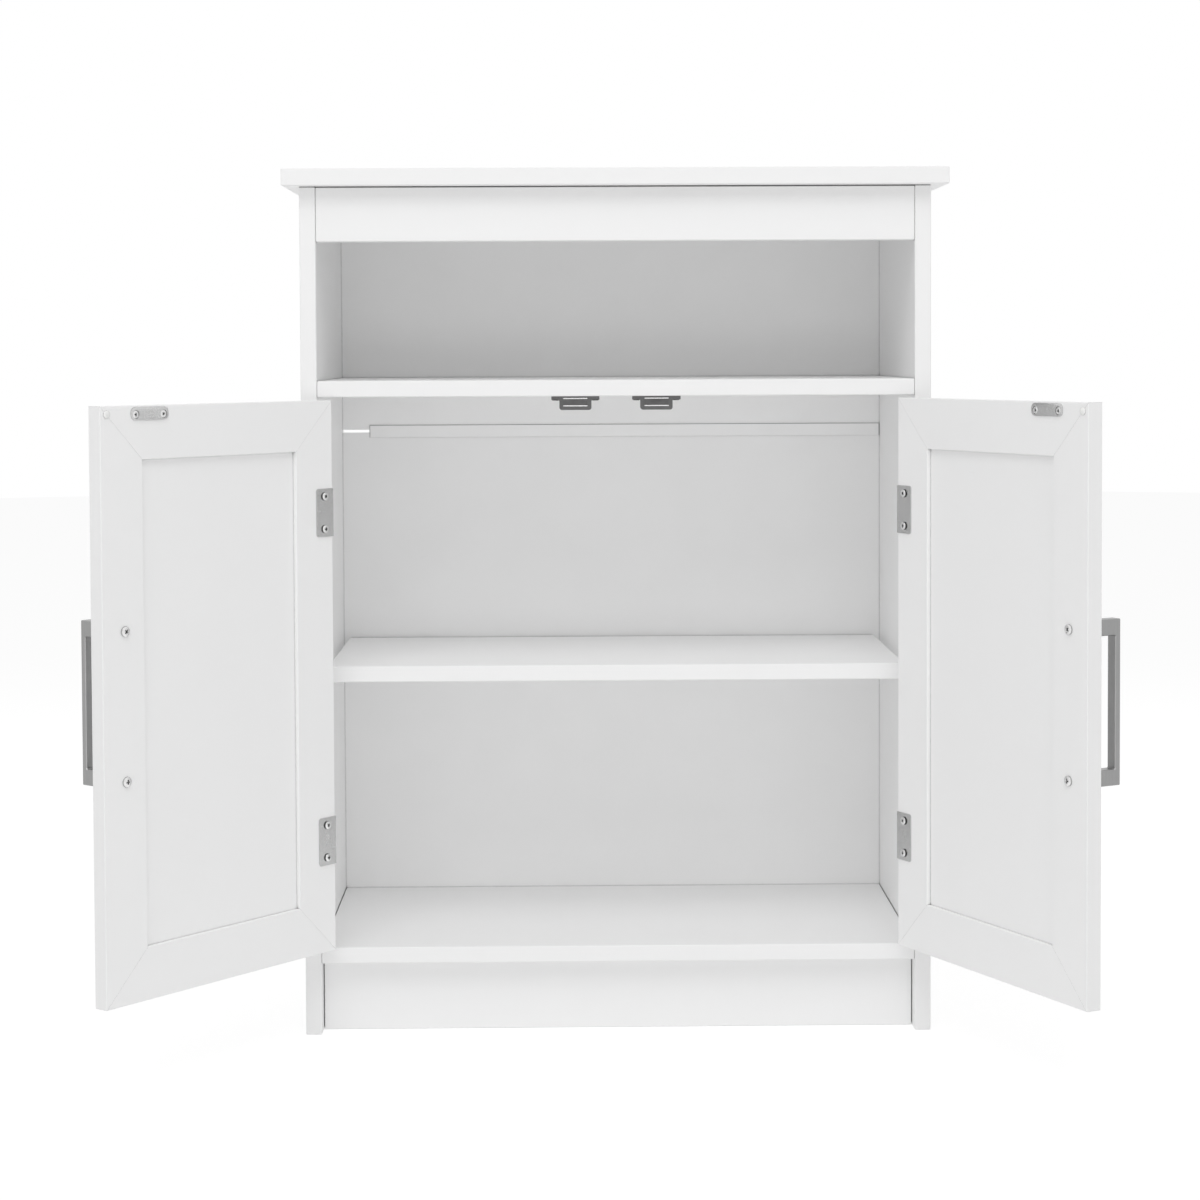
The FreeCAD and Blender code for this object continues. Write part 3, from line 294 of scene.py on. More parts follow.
def grouped_material(name, group, inputs, bump, reads_painted_shade=False, paints_crease_shade=False, **sockets):
    """A material with colour, roughness and bump from a group, with painted shade in creases and gaps or from the
    piece's painted shade attribute.
    """
    material = bpy.data.materials.new(name)
    material.use_nodes = True
    tree = material.node_tree
    shader = tree.nodes["Principled BSDF"]
    place = add_node(tree, "ShaderNodeTexCoord")
    effect = add_node(tree, "ShaderNodeGroup", node_tree=group)
    tree.links.new(place.outputs["Object"], effect.inputs["Vector"])
    for key, value in inputs.items():
        effect.inputs[key].default_value = (*value, 1.0) if key == "Colour" else value
    relief = add_node(tree, "ShaderNodeBump",
                      {"Height": effect.outputs["Height"], "Distance": bump, "Strength": 1.0})
    tint = effect.outputs["Colour"]
    # Painted shade: the colour is mixed towards SHADOW in creases and gaps, or by the shade attribute written on a
    # piece
    if reads_painted_shade or paints_crease_shade:
        shade = (crease_shade(tree, place) if paints_crease_shade
                 else add_node(tree, "ShaderNodeAttribute", attribute_name="shade").outputs["Fac"])
        darker = add_node(tree, "ShaderNodeMix", {"Factor": shade, "A": tint, "B": SHADOW}, data_type="RGBA")
        tint = darker.outputs["Result"]
    tree.links.new(tint, shader.inputs["Base Color"])
    tree.links.new(effect.outputs["Roughness"], shader.inputs["Roughness"])
    tree.links.new(relief.outputs["Normal"], shader.inputs["Normal"])
    for key, value in sockets.items():
        shader.inputs[key.replace("_", " ")].default_value = value
    return material


def material_for(slot):
    """The material of a slot or of a finish by its name, made when first asked for."""
    found = bpy.data.materials.get(f"cabinet_{slot}")
    return found or MATERIALS[slot](f"cabinet_{slot}")


def laminate(name):
    """Satin white of the boards and door frames, with painted shade in their creases and gaps."""
    look = finishes()
    return grouped_material(name, skin_group(),
                            {"Colour": look.board, "Patch Size": look.mottle, "Ripple Size": look.peel,
                             "Depth of Tone": 0.02, "Roughness": 0.42},
                            bump=0.00002, paints_crease_shade=True, Specular_IOR_Level=0.4)


def hardboard(name):
    """Satin white of the thin back panels, with painted shade in their creases and gaps."""
    look = finishes()
    return grouped_material(name, skin_group(),
                            {"Colour": look.back, "Patch Size": 0.05, "Ripple Size": 0.0008,
                             "Depth of Tone": 0.03, "Roughness": 0.5},
                            bump=0.00003, paints_crease_shade=True, Specular_IOR_Level=0.35)


def strip_plastic(name):
    """White plastic of the joiner strip."""
    look = finishes()
    return grouped_material(name, skin_group(),
                            {"Colour": look.strip, "Patch Size": 0.04, "Ripple Size": 0.002,
                             "Depth of Tone": 0.015, "Roughness": 0.38},
                            bump=0.00002, reads_painted_shade=True)


def catch_plastic(name):
    """Grey plastic of the catch housings."""
    look = finishes()
    return grouped_material(name, skin_group(),
                            {"Colour": look.catch, "Patch Size": 0.012, "Ripple Size": 0.0005,
                             "Depth of Tone": 0.12, "Roughness": 0.5},
                            bump=0.00004, Specular_IOR_Level=0.35)


def ferrite(name):
    """Dark ferrite of the magnets."""
    look = finishes()
    return grouped_material(name, skin_group(),
                            {"Colour": look.ferrite, "Patch Size": 0.006, "Ripple Size": 0.0003,
                             "Depth of Tone": 0.4, "Roughness": 0.6},
                            bump=0.00003)


def bumper_gel(name):
    """Soft pale gel of the bumper dots."""
    look = finishes()
    return grouped_material(name, skin_group(),
                            {"Colour": look.bumper, "Patch Size": 0.004, "Ripple Size": 0.0006,
                             "Depth of Tone": 0.05, "Roughness": 0.22},
                            bump=0.00001, reads_painted_shade=True, IOR=1.45)


def metal(name, tint, along, contrast, roughness, bump):
    """A metal with streaks, so many to the metre along each axis, and the painted shade of pieces that carry it.
    """
    return grouped_material(name, brushed_group(),
                            {"Colour": tint, "Along": along, "Contrast": contrast, "Roughness": roughness},
                            bump=bump, reads_painted_shade=True, Metallic=1.0)


# Length of a brushed line in the handles, in widths of the line
STREAK_STRETCH = 60


def satin_nickel(name):
    """Brushed grey of the handles."""
    fine = 1 / finishes().streak
    return metal(name, finishes().nickel, along=(fine, fine, fine / STREAK_STRETCH), contrast=0.16,
                 roughness=0.36, bump=0.000006)


def bright_steel(name):
    """Bright plate of the hinges, pins and plates."""
    return metal(name, finishes().steel, along=(700, 700, 700), contrast=0.12, roughness=0.22, bump=0.000006)


def screw_plating(name):
    """Bright plate of the screws."""
    return metal(name, finishes().screw, along=(900, 900, 900), contrast=0.1, roughness=0.2, bump=0.000006)


def zinc_alloy(name):
    """Dull die-cast grey of the cam locks."""
    return metal(name, finishes().zinc, along=(900, 900, 900), contrast=0.2, roughness=0.42, bump=0.00002)


def beech(name):
    """Raw wood of the dowels, with its grain along Z."""
    return grouped_material(name, brushed_group(),
                            {"Colour": finishes().beech, "Along": (900, 900, 60), "Contrast": 0.35,
                             "Roughness": 0.6},
                            bump=0.00003)


MATERIALS = {"white_laminate": laminate, "white_hardboard": hardboard, "white_plastic": strip_plastic,
             "satin_nickel": satin_nickel, "bright_steel": bright_steel, "zinc_alloy": zinc_alloy,
             "screw_plating": screw_plating, "grey_plastic": catch_plastic, "magnet": ferrite,
             "beech": beech, "clear_bumper": bumper_gel}


def dress(*slots):
    """Give every CAD node of these slots the slot's material."""
    for node, slot in SLOT_OF.items():
        if slot in slots:
            for place in NODES[node].material_slots:
                place.material = material_for(slot)


# Modelling
def clear_selection():
    """Object mode, with nothing selected."""
    if bpy.context.object and bpy.context.object.mode != "OBJECT":
        bpy.ops.object.mode_set(mode="OBJECT")
    bpy.ops.object.select_all(action="DESELECT")


def turned(name, profile, sides):
    """A closed turned piece: a disc extruded and resized ring by ring along Z, by (radius, height) pairs."""
    clear_selection()
    radius, level = profile[0]
    bpy.ops.mesh.primitive_circle_add(vertices=sides, radius=radius, fill_type="NGON",
                                      location=(0, 0, level))
    piece = bpy.context.object
    piece.name = name
    bpy.ops.object.transform_apply(location=True, rotation=False, scale=False)
    bpy.ops.object.mode_set(mode="EDIT")
    bpy.ops.mesh.select_all(action="SELECT")
    for (r0, z0), (r1, z1) in zip(profile, profile[1:]):
        bpy.ops.mesh.extrude_region_move(TRANSFORM_OT_translate={"value": (0, 0, z1 - z0)})
        bpy.ops.transform.resize(value=(r1 / r0, r1 / r0, 1), center_override=(0, 0, z1))
    bpy.ops.mesh.select_all(action="SELECT")
    bpy.ops.mesh.normals_make_consistent(inside=False)
    bpy.ops.object.mode_set(mode="OBJECT")
    return piece


def apply_modifier(piece, kind, **settings):
    """Add a modifier to a piece and apply it."""
    clear_selection()
    bpy.context.view_layer.objects.active = piece
    piece.select_set(True)
    modifier = piece.modifiers.new(kind.lower(), kind)
    for key, value in settings.items():
        setattr(modifier, key, value)
    bpy.ops.object.modifier_apply(modifier=modifier.name)


def cut_away(piece, tool):
    """Cut one piece out of another, and drop the tool."""
    apply_modifier(piece, "BOOLEAN", operation="DIFFERENCE", solver="EXACT", object=tool)
    bpy.data.objects.remove(tool, do_unlink=True)


# Width of a cross recess at its bottom, as a share of its width at the top
BLADE_TAPER = 0.45


def blade(span, width, depth, level, turn):
    """One tapered blade of a cross recess, standing on its narrow end below a level."""
    clear_selection()
    bpy.ops.mesh.primitive_cube_add(size=1, location=(0, 0, level))
    tool = bpy.context.object
    tool.scale = (span, width, 2 * depth)
    tool.rotation_euler = (0, 0, turn)
    bpy.ops.object.transform_apply(location=True, rotation=True, scale=True)
    bpy.ops.object.mode_set(mode="EDIT")
    mesh = bmesh.from_edit_mesh(tool.data)
    for face in mesh.faces:
        face.select_set(face.normal.z < -0.9)
    bmesh.update_edit_mesh(tool.data)
    bpy.ops.transform.resize(value=(BLADE_TAPER, BLADE_TAPER, 1), center_override=(0, 0, level - depth))
    bpy.ops.object.mode_set(mode="OBJECT")
    return tool


# Steps of a screw thread in one turn
THREAD_STEPS = 14


def thread(radius, height, pitch, low, high):
    """A ridge of triangular section wound round a core between two levels."""
    clear_selection()
    turns = max(1, int((high - low - pitch) / pitch))
    middle = (radius, 0, low + pitch / 2)
    # A triangle is one and a half radii tall, and half of this one is sunk in the core
    bpy.ops.mesh.primitive_circle_add(vertices=3, radius=2 * height / 1.5, fill_type="NOTHING",
                                      location=middle, rotation=(math.pi / 2, 0, -math.pi / 2))
    ridge = bpy.context.object
    bpy.ops.object.transform_apply(location=True, rotation=True, scale=False)
    bpy.ops.object.mode_set(mode="EDIT")
    bpy.ops.mesh.select_all(action="SELECT")
    bpy.ops.transform.rotate(value=-math.pi / 2, orient_axis="Y", center_override=middle)
    bpy.ops.object.mode_set(mode="OBJECT")
    apply_modifier(ridge, "SCREW", axis="Z", angle=2 * math.pi, screw_offset=pitch, iterations=turns,
                   steps=THREAD_STEPS, render_steps=THREAD_STEPS, use_merge_vertices=True)
    bpy.ops.object.mode_set(mode="EDIT")
    bpy.ops.mesh.select_mode(type="EDGE")
    bpy.ops.mesh.select_all(action="DESELECT")
    bpy.ops.mesh.select_non_manifold()
    bpy.ops.mesh.edge_face_add()
    bpy.ops.mesh.select_all(action="SELECT")
    bpy.ops.mesh.normals_make_consistent(inside=False)
    bpy.ops.object.mode_set(mode="OBJECT")
    return ridge


def join(name, pieces):
    """Several pieces made one, at the origin."""
    clear_selection()
    for piece in pieces:
        piece.select_set(True)
    bpy.context.view_layer.objects.active = pieces[0]
    if len(pieces) > 1:
        bpy.ops.object.join()
    joined = bpy.context.object
    bpy.ops.object.transform_apply(location=True, rotation=True, scale=True)
    joined.name = name
    return joined


def islands(node):
    """The separate solids of a CAD node, each as an array of points."""
    mesh = bmesh.new()
    mesh.from_mesh(NODES[node].data)
    bmesh.ops.remove_doubles(mesh, verts=mesh.verts, dist=WELD)
    left = set(mesh.verts)
    found = []
    while left:
        queue = [next(iter(left))]
        left.discard(queue[0])
        island = []
        while queue:
            vertex = queue.pop()
            island.append(vertex.co[:])
            for edge in vertex.link_edges:
                other = edge.other_vert(vertex)
                if other in left:
                    left.discard(other)
                    queue.append(other)
        found.append(np.array(island))
    mesh.free()
    return sorted(found, key=lambda points: tuple(points.mean(0).round(4)))


def about_axis(points):
    """Middle and axis of a turned solid, and each point's level along the axis and radius about it."""
    middle = points.mean(0)
    values, vectors = np.linalg.eigh(np.cov((points - middle).T))
    axis = vectors[:, int(np.argmax(np.abs(values - np.median(values))))]
    level = (points - middle) @ axis
    radius = np.linalg.norm((points - middle) - np.outer(level, axis), axis=1)
    return middle, axis, level, radius


# Share of a turned solid's largest radius over which a point is on its widest part
WIDE = 0.95


def screw_place(points):
    """Seat, axis and sizes of a screw, whose widest part is its head."""
    middle, axis, level, radius = about_axis(points)
    wide = radius > WIDE * radius.max()
    if level[wide].mean() < (level.max() + level.min()) / 2:
        axis, level = -axis, -level
    seat = level[wide].min()
    return {"axis": axis, "seat": middle + axis * seat,
            "head_radius": radius.max(), "head": level.max() - seat,
            "length": seat - level.min(), "shank": radius[level < seat - NEAR].max()}


def dot_place(points):
    """Seat, axis and sizes of a bumper, whose widest part is its foot."""
    middle, axis, level, radius = about_axis(points)
    wide = radius > WIDE * radius.max()
    if level[wide].mean() > level[~wide].mean():
        axis, level = -axis, -level
    return {"axis": axis, "seat": middle + axis * level.min(),
            "radius": radius.max(), "height": np.ptp(level)}


def standing(place, twist):
    """The matrix of a piece that stands on a place, turned about its axis."""
    turn = Vector(place["axis"]).to_track_quat("Z", "Y").to_matrix().to_4x4()
    return Matrix.Translation(place["seat"]) @ turn @ Matrix.Rotation(twist, 4, "Z")


def cam_place(points):
    """Sizes of a cam lock and the matrix of its open face, with X towards its bolt."""
    low, high = points.min(0), points.max(0)
    along = int(np.argmin(high - low))
    inside = (points[:, along] > low[along] + NEAR) & (points[:, along] < high[along] - NEAR)
    middle, slot = (low + high) / 2, points[inside].mean(0)
    outward = np.zeros(3)
    outward[along] = np.sign(middle[along] - slot[along])
    face = middle + outward * (high - low)[along] / 2
    bolt = (slot - middle) * (outward == 0)
    bolt /= np.linalg.norm(bolt)
    bore = np.ptp(points[inside] @ outward)
    turn = Matrix((bolt, np.cross(outward, bolt), outward)).transposed().to_4x4()
    return {"matrix": Matrix.Translation(face) @ turn, "radius": max(high - low) / 2,
            "depth": (high - low)[along], "bolt_level": (slot - face) @ outward, "bore": bore}


def copies(name, pattern, matrices):
    """Copies of a pattern, one at each place, joined; the pattern goes."""
    made = []
    for matrix in matrices:
        copy = pattern.copy()
        copy.data = pattern.data.copy()
        bpy.context.scene.collection.objects.link(copy)
        copy.matrix_world = matrix
        made.append(copy)
    bpy.data.objects.remove(pattern, do_unlink=True)
    return join(name, made)


def stand_in_for(piece, node, finish=None):
    """Put a finished piece in its node's stead, on its body, with its slot's finish or one of its own."""
    piece.data.materials.append(material_for(finish or SLOT_OF[node]))
    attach(piece, BODY_OF[node])
    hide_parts(node)


def smooth(piece, degrees=35):
    """Smooth shading that keeps edges sharper than an angle."""
    clear_selection()
    bpy.context.view_layer.objects.active = piece
    piece.select_set(True)
    bpy.ops.object.shade_smooth_by_angle(angle=math.radians(degrees))


def darken(piece, shade):
    """Write the painted shade of each point of a piece, from 0 to 1, by a function of its place, into its shade
    attribute.
    """
    layer = piece.data.attributes.new("shade", "FLOAT", "POINT")
    for vertex in piece.data.vertices:
        layer.data[vertex.index].value = shade(vertex.co)


# Radii of a screw's point, head foot and flat top, as shares of its core or of its head
POINT_RADIUS = 0.15
FOOT_RADIUS = 0.97
TOP_RADIUS = 0.14
# Levels in a screw's head, as shares of its height: its foot's bevel, its wall and the middle of its dome
FOOT_LEVEL = 0.08
WALL_LEVEL = 0.45
DOME_LEVEL = 0.55
DOME_STEPS = (18, 36, 54, 72)
# Ends of a screw's bare neck and of its thread under the head
NECK = 0.3 * MILLIMETRE
THREAD_END = 0.4 * MILLIMETRE
# A point past this share of a head's radius and under this share of its height gets the painted shade of the foot
DARK_RIM = 0.9
DARK_FOOT = 0.5
# A point so far under the dome, as a share of the head's height, gets the painted shade of the recess
DARK_RECESS = 0.12


def cross_head(sizes, painted_foot_shade, painted_recess_shade):
    """A cross-head screw: a domed head over the origin, with painted shade at its foot and in its recess, and a
    threaded shank.
    """
    make = fittings()
    head, rim = sizes["head"], sizes["head_radius"]
    core = sizes["shank"] - make.thread
    tip = -sizes["length"]
    dome = [(rim, head * WALL_LEVEL)]
    for step in map(math.radians, DOME_STEPS):
        dome.append((rim * math.cos(step), head * (DOME_LEVEL + (1 - DOME_LEVEL) * math.sin(step))))
    dome.append((rim * TOP_RADIUS, head))
    profile = [(core * POINT_RADIUS, tip), (core, tip + 2 * core), (core, -NECK), (rim * FOOT_RADIUS, 0),
               (rim, head * FOOT_LEVEL)] + dome
    screw = turned("cross_head", profile, make.sides)
    depth = head * make.recess_depth
    for turn in (0, math.pi / 2):
        cut_away(screw, blade(2 * rim * make.recess_span, 2 * rim * make.recess_blade, depth, head, turn))
    ridge = thread(core, make.thread, make.pitch, tip + 2 * core, -THREAD_END)
    screw = join("cross_head", [screw, ridge])
    radii, levels = zip(*reversed(dome))

    # Painted shade: dark on the foot of the head and deep in the cross recess
    def shade(point):
        radius = math.hypot(point.x, point.y)
        if radius > DARK_RIM * rim and point.z < DARK_FOOT * head:
            return painted_foot_shade
        sunk = 0 < point.z < np.interp(radius, radii, levels) - DARK_RECESS * head
        return painted_recess_shade if sunk else 0.0

    darken(screw, shade)
    return screw


def block(name, low, high):
    """A block between two corners."""
    clear_selection()
    bpy.ops.mesh.primitive_cube_add(size=1, location=(low + high) / 2)
    made = bpy.context.object
    made.name = name
    made.scale = high - low
    bpy.ops.object.transform_apply(location=True, rotation=False, scale=True)
    return made


def ease(piece, size, segments, picks=lambda start, end: True):
    """Round the edges of a piece whose two ends pass a test."""
    clear_selection()
    bpy.context.view_layer.objects.active = piece
    piece.select_set(True)
    bpy.ops.object.mode_set(mode="EDIT")
    bpy.ops.mesh.select_mode(type="EDGE")
    bpy.ops.mesh.select_all(action="DESELECT")
    mesh = bmesh.from_edit_mesh(piece.data)
    for edge in mesh.edges:
        edge.select_set(picks(*[vertex.co for vertex in edge.verts]))
    bmesh.update_edit_mesh(piece.data)
    bpy.ops.mesh.bevel(offset=size, segments=segments, affect="EDGES")
    bpy.ops.object.mode_set(mode="OBJECT")


# Rounding of the strip's edges and of a strike plate's face, and room round a screw head in its plate
STRIP_EASE = 0.2 * MILLIMETRE
PLATE_EASE = 0.25 * MILLIMETRE
HEAD_ROOM = 0.15 * MILLIMETRE


def joiner_strip(low, high):
    """A strip of H section that holds two panels, with grooves along the top and ends of its face whose bottoms
    carry painted shade.
    """
    make = fittings()
    strip = block("joiner_strip", low, high)
    ease(strip, STRIP_EASE, segments=2)
    past = Vector((MILLIMETRE, 0, 0))
    middle = (low.z + high.z) / 2
    below, above = low.z - MILLIMETRE, high.z + MILLIMETRE
    front, rear = low.y + make.strip_flange, high.y - make.strip_flange
    for foot, head in ((below, middle - make.strip_web / 2), (middle + make.strip_web / 2, above)):
        slot = block("slot", Vector((low.x, front, foot)) - past, Vector((high.x, rear, head)) + past)
        cut_away(strip, slot)
    bottom = low.y + make.strip_sink
    top, left, right = high.z - make.strip_lip, low.x + make.strip_lip, high.x - make.strip_lip
    gaps = [(left, right, top - make.strip_groove, top), (left, left + make.strip_groove, below, top),
            (right - make.strip_groove, right, below, top)]
    for start, end, foot, head in gaps:
        cut_away(strip, block("gap", Vector((start, low.y - MILLIMETRE, foot)), Vector((end, bottom, head))))
    # Painted shade: the bottoms of the grooves are written fully dark
    darken(strip, lambda point: float(abs(point.y - bottom) < NEAR))
    return strip


def opened(node):
    """The turn that takes a door's piece from where it is with the door shut to where it stands."""
    joint = next(joint for joint in frame["joints"] if joint["child"] == BODY_OF[node])
    pivot = Matrix.Translation(joint["pos_m"])
    return pivot @ Matrix.Rotation(-math.radians(joint["range_deg"][0]), 4, joint["axis"]) @ pivot.inverted()


def strike_plate(node, screws):
    """A thin plate with round ends and two holes for its screws, made with the door shut."""
    make = fittings()
    shut = opened(node).inverted()
    points = np.array([shut @ vertex.co for vertex in NODES[node].data.vertices])
    low, high = Vector(points.min(0)), Vector(points.max(0))
    middle = (low.x + high.x) / 2
    low.x = middle - make.plate_length / 2
    high.x = middle + make.plate_length / 2
    low.z = high.z - make.plate_height
    plate = block("strike_plate", low, high)
    ease(plate, make.plate_corner, 6, lambda start, end: abs(start.y - end.y) > 0.1 * MILLIMETRE)
    ease(plate, PLATE_EASE, 2, lambda start, end: min(start.y, end.y) > high.y - NEAR)
    bore = make.strike_head + HEAD_ROOM
    for points in islands(screws):
        seat = shut @ Vector(screw_place(points)["seat"])
        tool = turned("hole", [(bore, -2 * MILLIMETRE), (bore, 3 * MILLIMETRE)], make.sides)
        tool.matrix_world = Matrix.Translation(seat) @ Matrix.Rotation(-math.pi / 2, 4, "X")
        cut_away(plate, tool)
    return plate


# Proportions of a cam lock as shares of its radius: rim and sunk face, cross recess, ends of the slot
CAM_LAND = 0.74
CAM_FACE = 0.68
CAM_SPAN = 1.1
CAM_BLADE = 0.24
SLOT_BACK = 0.25
SLOT_FRONT = 1.2


def cam_lock(sizes):
    """A cam lock with its open face at the origin: a bevelled rim, a sunk cross, and a slot for its bolt."""
    make = fittings()
    radius, rim = sizes["radius"], make.cam_rim
    profile = [(radius, -sizes["depth"]), (radius, -rim), (radius - rim, 0), (radius * CAM_LAND, 0),
               (radius * CAM_FACE, -rim)]
    lock = turned("cam_lock", profile, make.sides)
    for turn in (0, math.pi / 2):
        cut_away(lock, blade(radius * CAM_SPAN, radius * CAM_BLADE, make.cam_sink, -rim, turn))
    half, level = sizes["bore"] / 2, sizes["bolt_level"]
    cut_away(lock, block("slot", Vector((-SLOT_BACK * radius, -half, level - half)),
                         Vector((SLOT_FRONT * radius, half, level + half))))
    return lock


# Levels in a bumper dot as shares of its height, its flat top as a share of its radius, and the painted shade on
# its foot
DOT_LEVEL = 0.25
DOT_STEPS = (0, 15, 30, 45, 60, 75)
DOT_TOP = 0.08
DOT_DARK = 0.3
DOT_PAINTED_SHADE = 0.35


def bumper_dot(sizes):
    """A soft dome on a short straight foot, with painted shade on the foot."""
    radius, height = sizes["radius"], sizes["height"]
    dome = [(radius * math.cos(step), height * (DOT_LEVEL + (1 - DOT_LEVEL) * math.sin(step)))
            for step in map(math.radians, DOT_STEPS)]
    dot = turned("bumper_dot", [(radius, 0)] + dome + [(radius * DOT_TOP, height)], fittings().sides)
    # Painted shade: the lower part of the dot is written darker
    darken(dot, lambda point: DOT_PAINTED_SHADE if point.z < DOT_DARK * height else 0.0)
    return dot


# Turn from one screw to the next, and the painted shade of a screw's foot and recess
GOLDEN_TURN = math.radians(137.5)
PLAIN_PAINTED_SHADES = (1.0, 1.0)
HANDLE_PAINTED_SHADES = (0.4, 0.6)
BUMPER_NODES = ["left_door_bumper", "right_door_bumper"]
SCREW_NODES = ["hinge_frame_screws", "catch_screws"] + [f"{side}_{kind}_screws" for side in ("left", "right")
                                                        for kind in ("door_hinge", "handle", "strike")]


class CABINET_OT_boards(bpy.types.Operator):
    """Give the boards and the door frames their white laminate"""
    bl_idname = "cabinet.boards"
    bl_label = "Boards"

    def execute(self, context):
        dress("white_laminate")
        return {"FINISHED"}


class CABINET_OT_backs(bpy.types.Operator):
    """Give the back panels their finish, and model the strip that joins them"""
    bl_idname = "cabinet.backs"
    bl_label = "Back Panels"

    def execute(self, context):
        dress("white_hardboard")
        stand_in_for(joiner_strip(*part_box("back_joiner_strip")), "back_joiner_strip")
        return {"FINISHED"}


class CABINET_OT_metalware(bpy.types.Operator):
    """Give the handles, hinges, plates, pins and dowels their finish"""
    bl_idname = "cabinet.metalware"
    bl_label = "Metalware"

    def execute(self, context):
        dress("satin_nickel", "bright_steel", "beech")
        return {"FINISHED"}


class CABINET_OT_cam_locks(bpy.types.Operator):
    """Model the cam locks in the boards"""
    bl_idname = "cabinet.cam_locks"
    bl_label = "Cam Locks"

    def execute(self, context):
        places = [cam_place(points) for points in islands("cam_locks")]
        piece = copies("cross_cam_locks", cam_lock(places[0]), [place["matrix"] for place in places])
        smooth(piece)
        stand_in_for(piece, "cam_locks")
        return {"FINISHED"}


class CABINET_OT_catches(bpy.types.Operator):
    """Give the catches their plastic and their magnets, and model the bumper dots"""
    bl_idname = "cabinet.catches"
    bl_label = "Catches and Bumpers"

    def execute(self, context):
        dress("grey_plastic", "magnet")
        for node in BUMPER_NODES:
            place = dot_place(islands(node)[0])
            piece = copies(f"dome_{node}", bumper_dot(place), [standing(place, 0)])
            smooth(piece)
            stand_in_for(piece, node)
        return {"FINISHED"}


class CABINET_OT_strike_plates(bpy.types.Operator):
    """Model the plates on the doors that the catches hold"""
    bl_idname = "cabinet.strike_plates"
    bl_label = "Strike Plates"

    def execute(self, context):
        for side in ("left", "right"):
            node = f"{side}_strike_plate"
            piece = copies(f"round_end_{node}", strike_plate(node, f"{side}_strike_screws"), [opened(node)])
            smooth(piece)
            stand_in_for(piece, node)
        return {"FINISHED"}


class CABINET_OT_screws(bpy.types.Operator):
    """Model the cross-head screws and set them where the plain ones stand"""
    bl_idname = "cabinet.screws"
    bl_label = "Screws"

    def execute(self, context):
        for node in SCREW_NODES:
            places = [screw_place(points) for points in islands(node)]
            matrices = [standing(place, GOLDEN_TURN * number) for number, place in enumerate(places)]
            sizes = places[0]
            if "strike" in node:
                sizes["head_radius"] = fittings().strike_head
            painted_shades = HANDLE_PAINTED_SHADES if "handle" in node else PLAIN_PAINTED_SHADES
            piece = copies(f"cross_head_{node}", cross_head(sizes, *painted_shades), matrices)
            smooth(piece)
            stand_in_for(piece, node, "screw_plating")
        return {"FINISHED"}


class CABINET_OT_studio(bpy.types.Operator):
    """Set up the floor, the light and the camera"""
    bl_idname = "cabinet.studio"
    bl_label = "Studio"

    def execute(self, context):
        make_floor()
        make_light()
        make_camera()
        return {"FINISHED"}


def background_ray(tree):
    """Nought for light that falls on the object, one for rays that see the background."""
    path = add_node(tree, "ShaderNodeLightPath")
    seen = arithmetic(tree, "MAXIMUM", path.outputs["Is Camera Ray"], path.outputs["Is Glossy Ray"])
    return arithmetic(tree, "MAXIMUM", seen, path.outputs["Is Transmission Ray"])


# How far the floor lies under the cabinet, its paper as the light sees it, and its look to the eye
FLOOR_DROP = 0.2 * MILLIMETRE
PAPER_DARK = (0.9, 0.9, 0.9, 1)
PAPER_PALE = (0.92, 0.92, 0.92, 1)
SEEN_PAPER = (0.28, 0.28, 0.28, 1)
SEEN_GLOW = 0.8


def make_floor():
    """A wide round floor, white to the eye, that keeps a faint shadow."""
    clear_selection()
    bpy.ops.mesh.primitive_circle_add(vertices=96, radius=studio().floor_radius, fill_type="NGON",
                                      location=(0, 0, -FLOOR_DROP))
    floor = bpy.context.object
    floor.name = "studio_floor"
    bpy.ops.object.transform_apply(location=True, rotation=False, scale=False)
    material = bpy.data.materials.new("studio_floor")
    material.use_nodes = True
    tree = material.node_tree
    out = tree.nodes["Material Output"]
    tree.nodes.remove(tree.nodes["Principled BSDF"])
    place = add_node(tree, "ShaderNodeTexCoord")
    grain = noise(tree, place.outputs["Object"], scale=3.0)
    paper = add_node(tree, "ShaderNodeMix", {"Factor": grain, "A": PAPER_DARK, "B": PAPER_PALE},
                     data_type="RGBA")
    bounce = add_node(tree, "ShaderNodeBsdfDiffuse", {"Color": paper.outputs["Result"]})
    shade = add_node(tree, "ShaderNodeBsdfDiffuse", {"Color": SEEN_PAPER})
    glow = add_node(tree, "ShaderNodeEmission", {"Color": (1, 1, 1, 1), "Strength": SEEN_GLOW})
    seen = add_node(tree, "ShaderNodeAddShader")
    tree.links.new(shade.outputs["BSDF"], seen.inputs[0])
    tree.links.new(glow.outputs["Emission"], seen.inputs[1])
    mix = add_node(tree, "ShaderNodeMixShader", {"Fac": background_ray(tree)})
    tree.links.new(bounce.outputs["BSDF"], mix.inputs[1])
    tree.links.new(seen.outputs["Shader"], mix.inputs[2])
    tree.links.new(mix.outputs["Shader"], out.inputs["Surface"])
    floor.data.materials.append(material)


# Where the lamps point, and each one's place and size
LAMP_AIM = Vector((0, 0, 0.45))
LAMPS = {"key": ((-0.35, -2.1, 2.7), (2.2, 1.3)), "low": ((0, -2.6, 0.2), (2.6, 0.36)),
         "high": ((0, -1.3, 2.9), (2.2, 1.0)), "left": ((-2.0, 1.2, 0.9), (1.4, 1.4)),
         "right": ((2.0, 1.2, 0.9), (1.4, 1.4))}


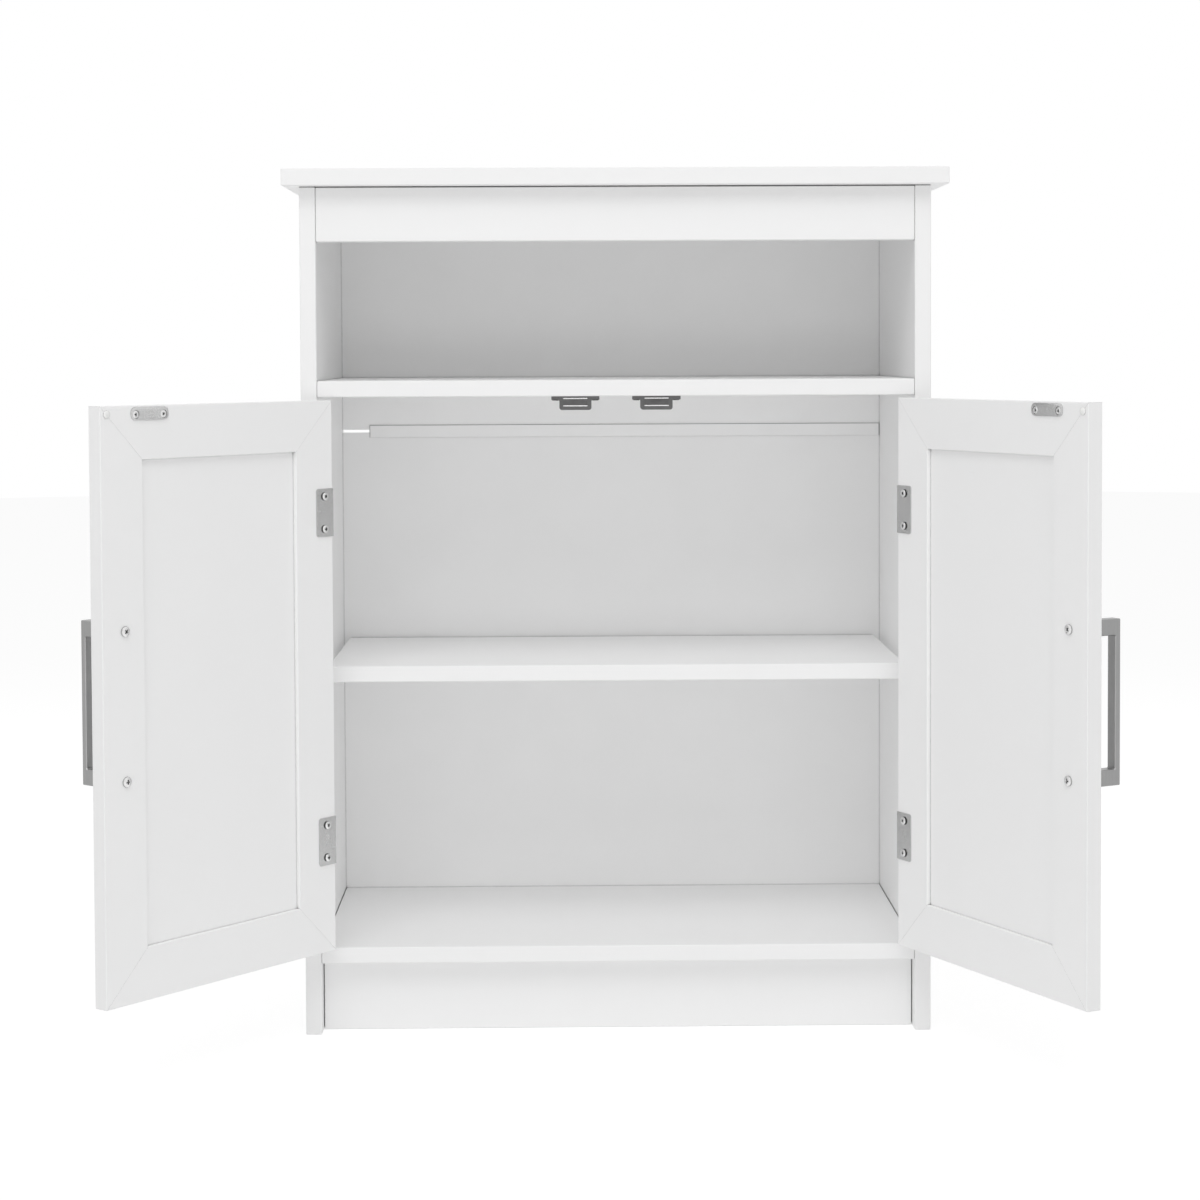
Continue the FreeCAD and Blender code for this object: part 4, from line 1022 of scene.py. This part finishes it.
def make_light():
    """Large soft lamps, and even light from all round under a white background."""
    setting = studio()
    for name, (place, size) in LAMPS.items():
        clear_selection()
        turn = (LAMP_AIM - Vector(place)).to_track_quat("-Z", "Y").to_euler()
        bpy.ops.object.light_add(type="AREA", location=place, rotation=turn)
        lamp = bpy.context.object
        lamp.name = f"{name}_lamp"
        lamp.data.shape = "RECTANGLE"
        lamp.data.size, lamp.data.size_y = size
        lamp.data.energy = getattr(setting, name)
    world = bpy.data.worlds.new("studio_world")
    bpy.context.scene.world = world
    world.use_nodes = True
    tree = world.node_tree
    sky = tree.nodes["Background"]
    strength = spread(tree, background_ray(tree), setting.ambient, 1.0, 0.0, 1.0)
    sky.inputs["Color"].default_value = (1, 1, 1, 1)
    tree.links.new(strength, sky.inputs["Strength"])


# Width of the camera's sensor in millimetres
SENSOR = 36


def make_camera():
    """The camera, where the picture was taken from."""
    setting = studio()
    cy, sy = math.cos(setting.yaw), math.sin(setting.yaw)
    cp, sp = math.cos(setting.pitch), math.sin(setting.pitch)
    cr, sr = math.cos(setting.roll), math.sin(setting.roll)
    forward = Vector((sy * cp, cy * cp, -sp))
    right = Vector((cy, -sy, 0))
    up = right.cross(forward)
    across, upright = cr * right + sr * up, cr * up - sr * right
    clear_selection()
    bpy.ops.object.camera_add(location=setting.eye)
    camera = bpy.context.object
    camera.name = "studio_camera"
    turn = Matrix((across, upright, -forward)).transposed().to_4x4()
    camera.matrix_world = Matrix.Translation(setting.eye) @ turn
    camera.data.sensor_width = SENSOR
    camera.data.lens = setting.lens
    camera.data.shift_y = setting.rise
    bpy.context.scene.camera = camera
    bpy.context.scene.view_settings.view_transform = "Standard"
    bpy.context.scene.cycles.max_bounces = 16
    bpy.context.scene.cycles.diffuse_bounces = 12


class CABINET_PT_panel(bpy.types.Panel):
    """The cabinet's operators, in the order in which they run"""
    bl_label = "Bathroom Cabinet"
    bl_idname = "CABINET_PT_panel"
    bl_space_type = "VIEW_3D"
    bl_region_type = "UI"
    bl_category = "Cabinet"

    def draw(self, context):
        for operator in OPERATORS:
            self.layout.operator(operator.bl_idname)


GROUPS = {"cabinet_finishes": CabinetFinishes, "cabinet_fittings": CabinetFittings,
          "cabinet_studio": CabinetStudio}
OPERATORS = [CABINET_OT_boards, CABINET_OT_backs, CABINET_OT_metalware, CABINET_OT_cam_locks,
             CABINET_OT_catches, CABINET_OT_strike_plates, CABINET_OT_screws, CABINET_OT_studio]


def register():
    """Make the settings, the operators and the panel known."""
    for name, group in GROUPS.items():
        bpy.utils.register_class(group)
        setattr(bpy.types.Scene, name, PointerProperty(type=group))
    for item in OPERATORS + [CABINET_PT_panel]:
        bpy.utils.register_class(item)


def unregister():
    """Take back what register made known."""
    for item in reversed(OPERATORS + [CABINET_PT_panel]):
        bpy.utils.unregister_class(item)
    for name, group in GROUPS.items():
        delattr(bpy.types.Scene, name)
        bpy.utils.unregister_class(group)


def main():
    """Dress the cabinet and set the studio."""
    register()
    bpy.ops.cabinet.boards()
    bpy.ops.cabinet.backs()
    bpy.ops.cabinet.metalware()
    bpy.ops.cabinet.cam_locks()
    bpy.ops.cabinet.catches()
    bpy.ops.cabinet.strike_plates()
    bpy.ops.cabinet.screws()
    bpy.ops.cabinet.studio()


if __name__ == "__main__":
    main()
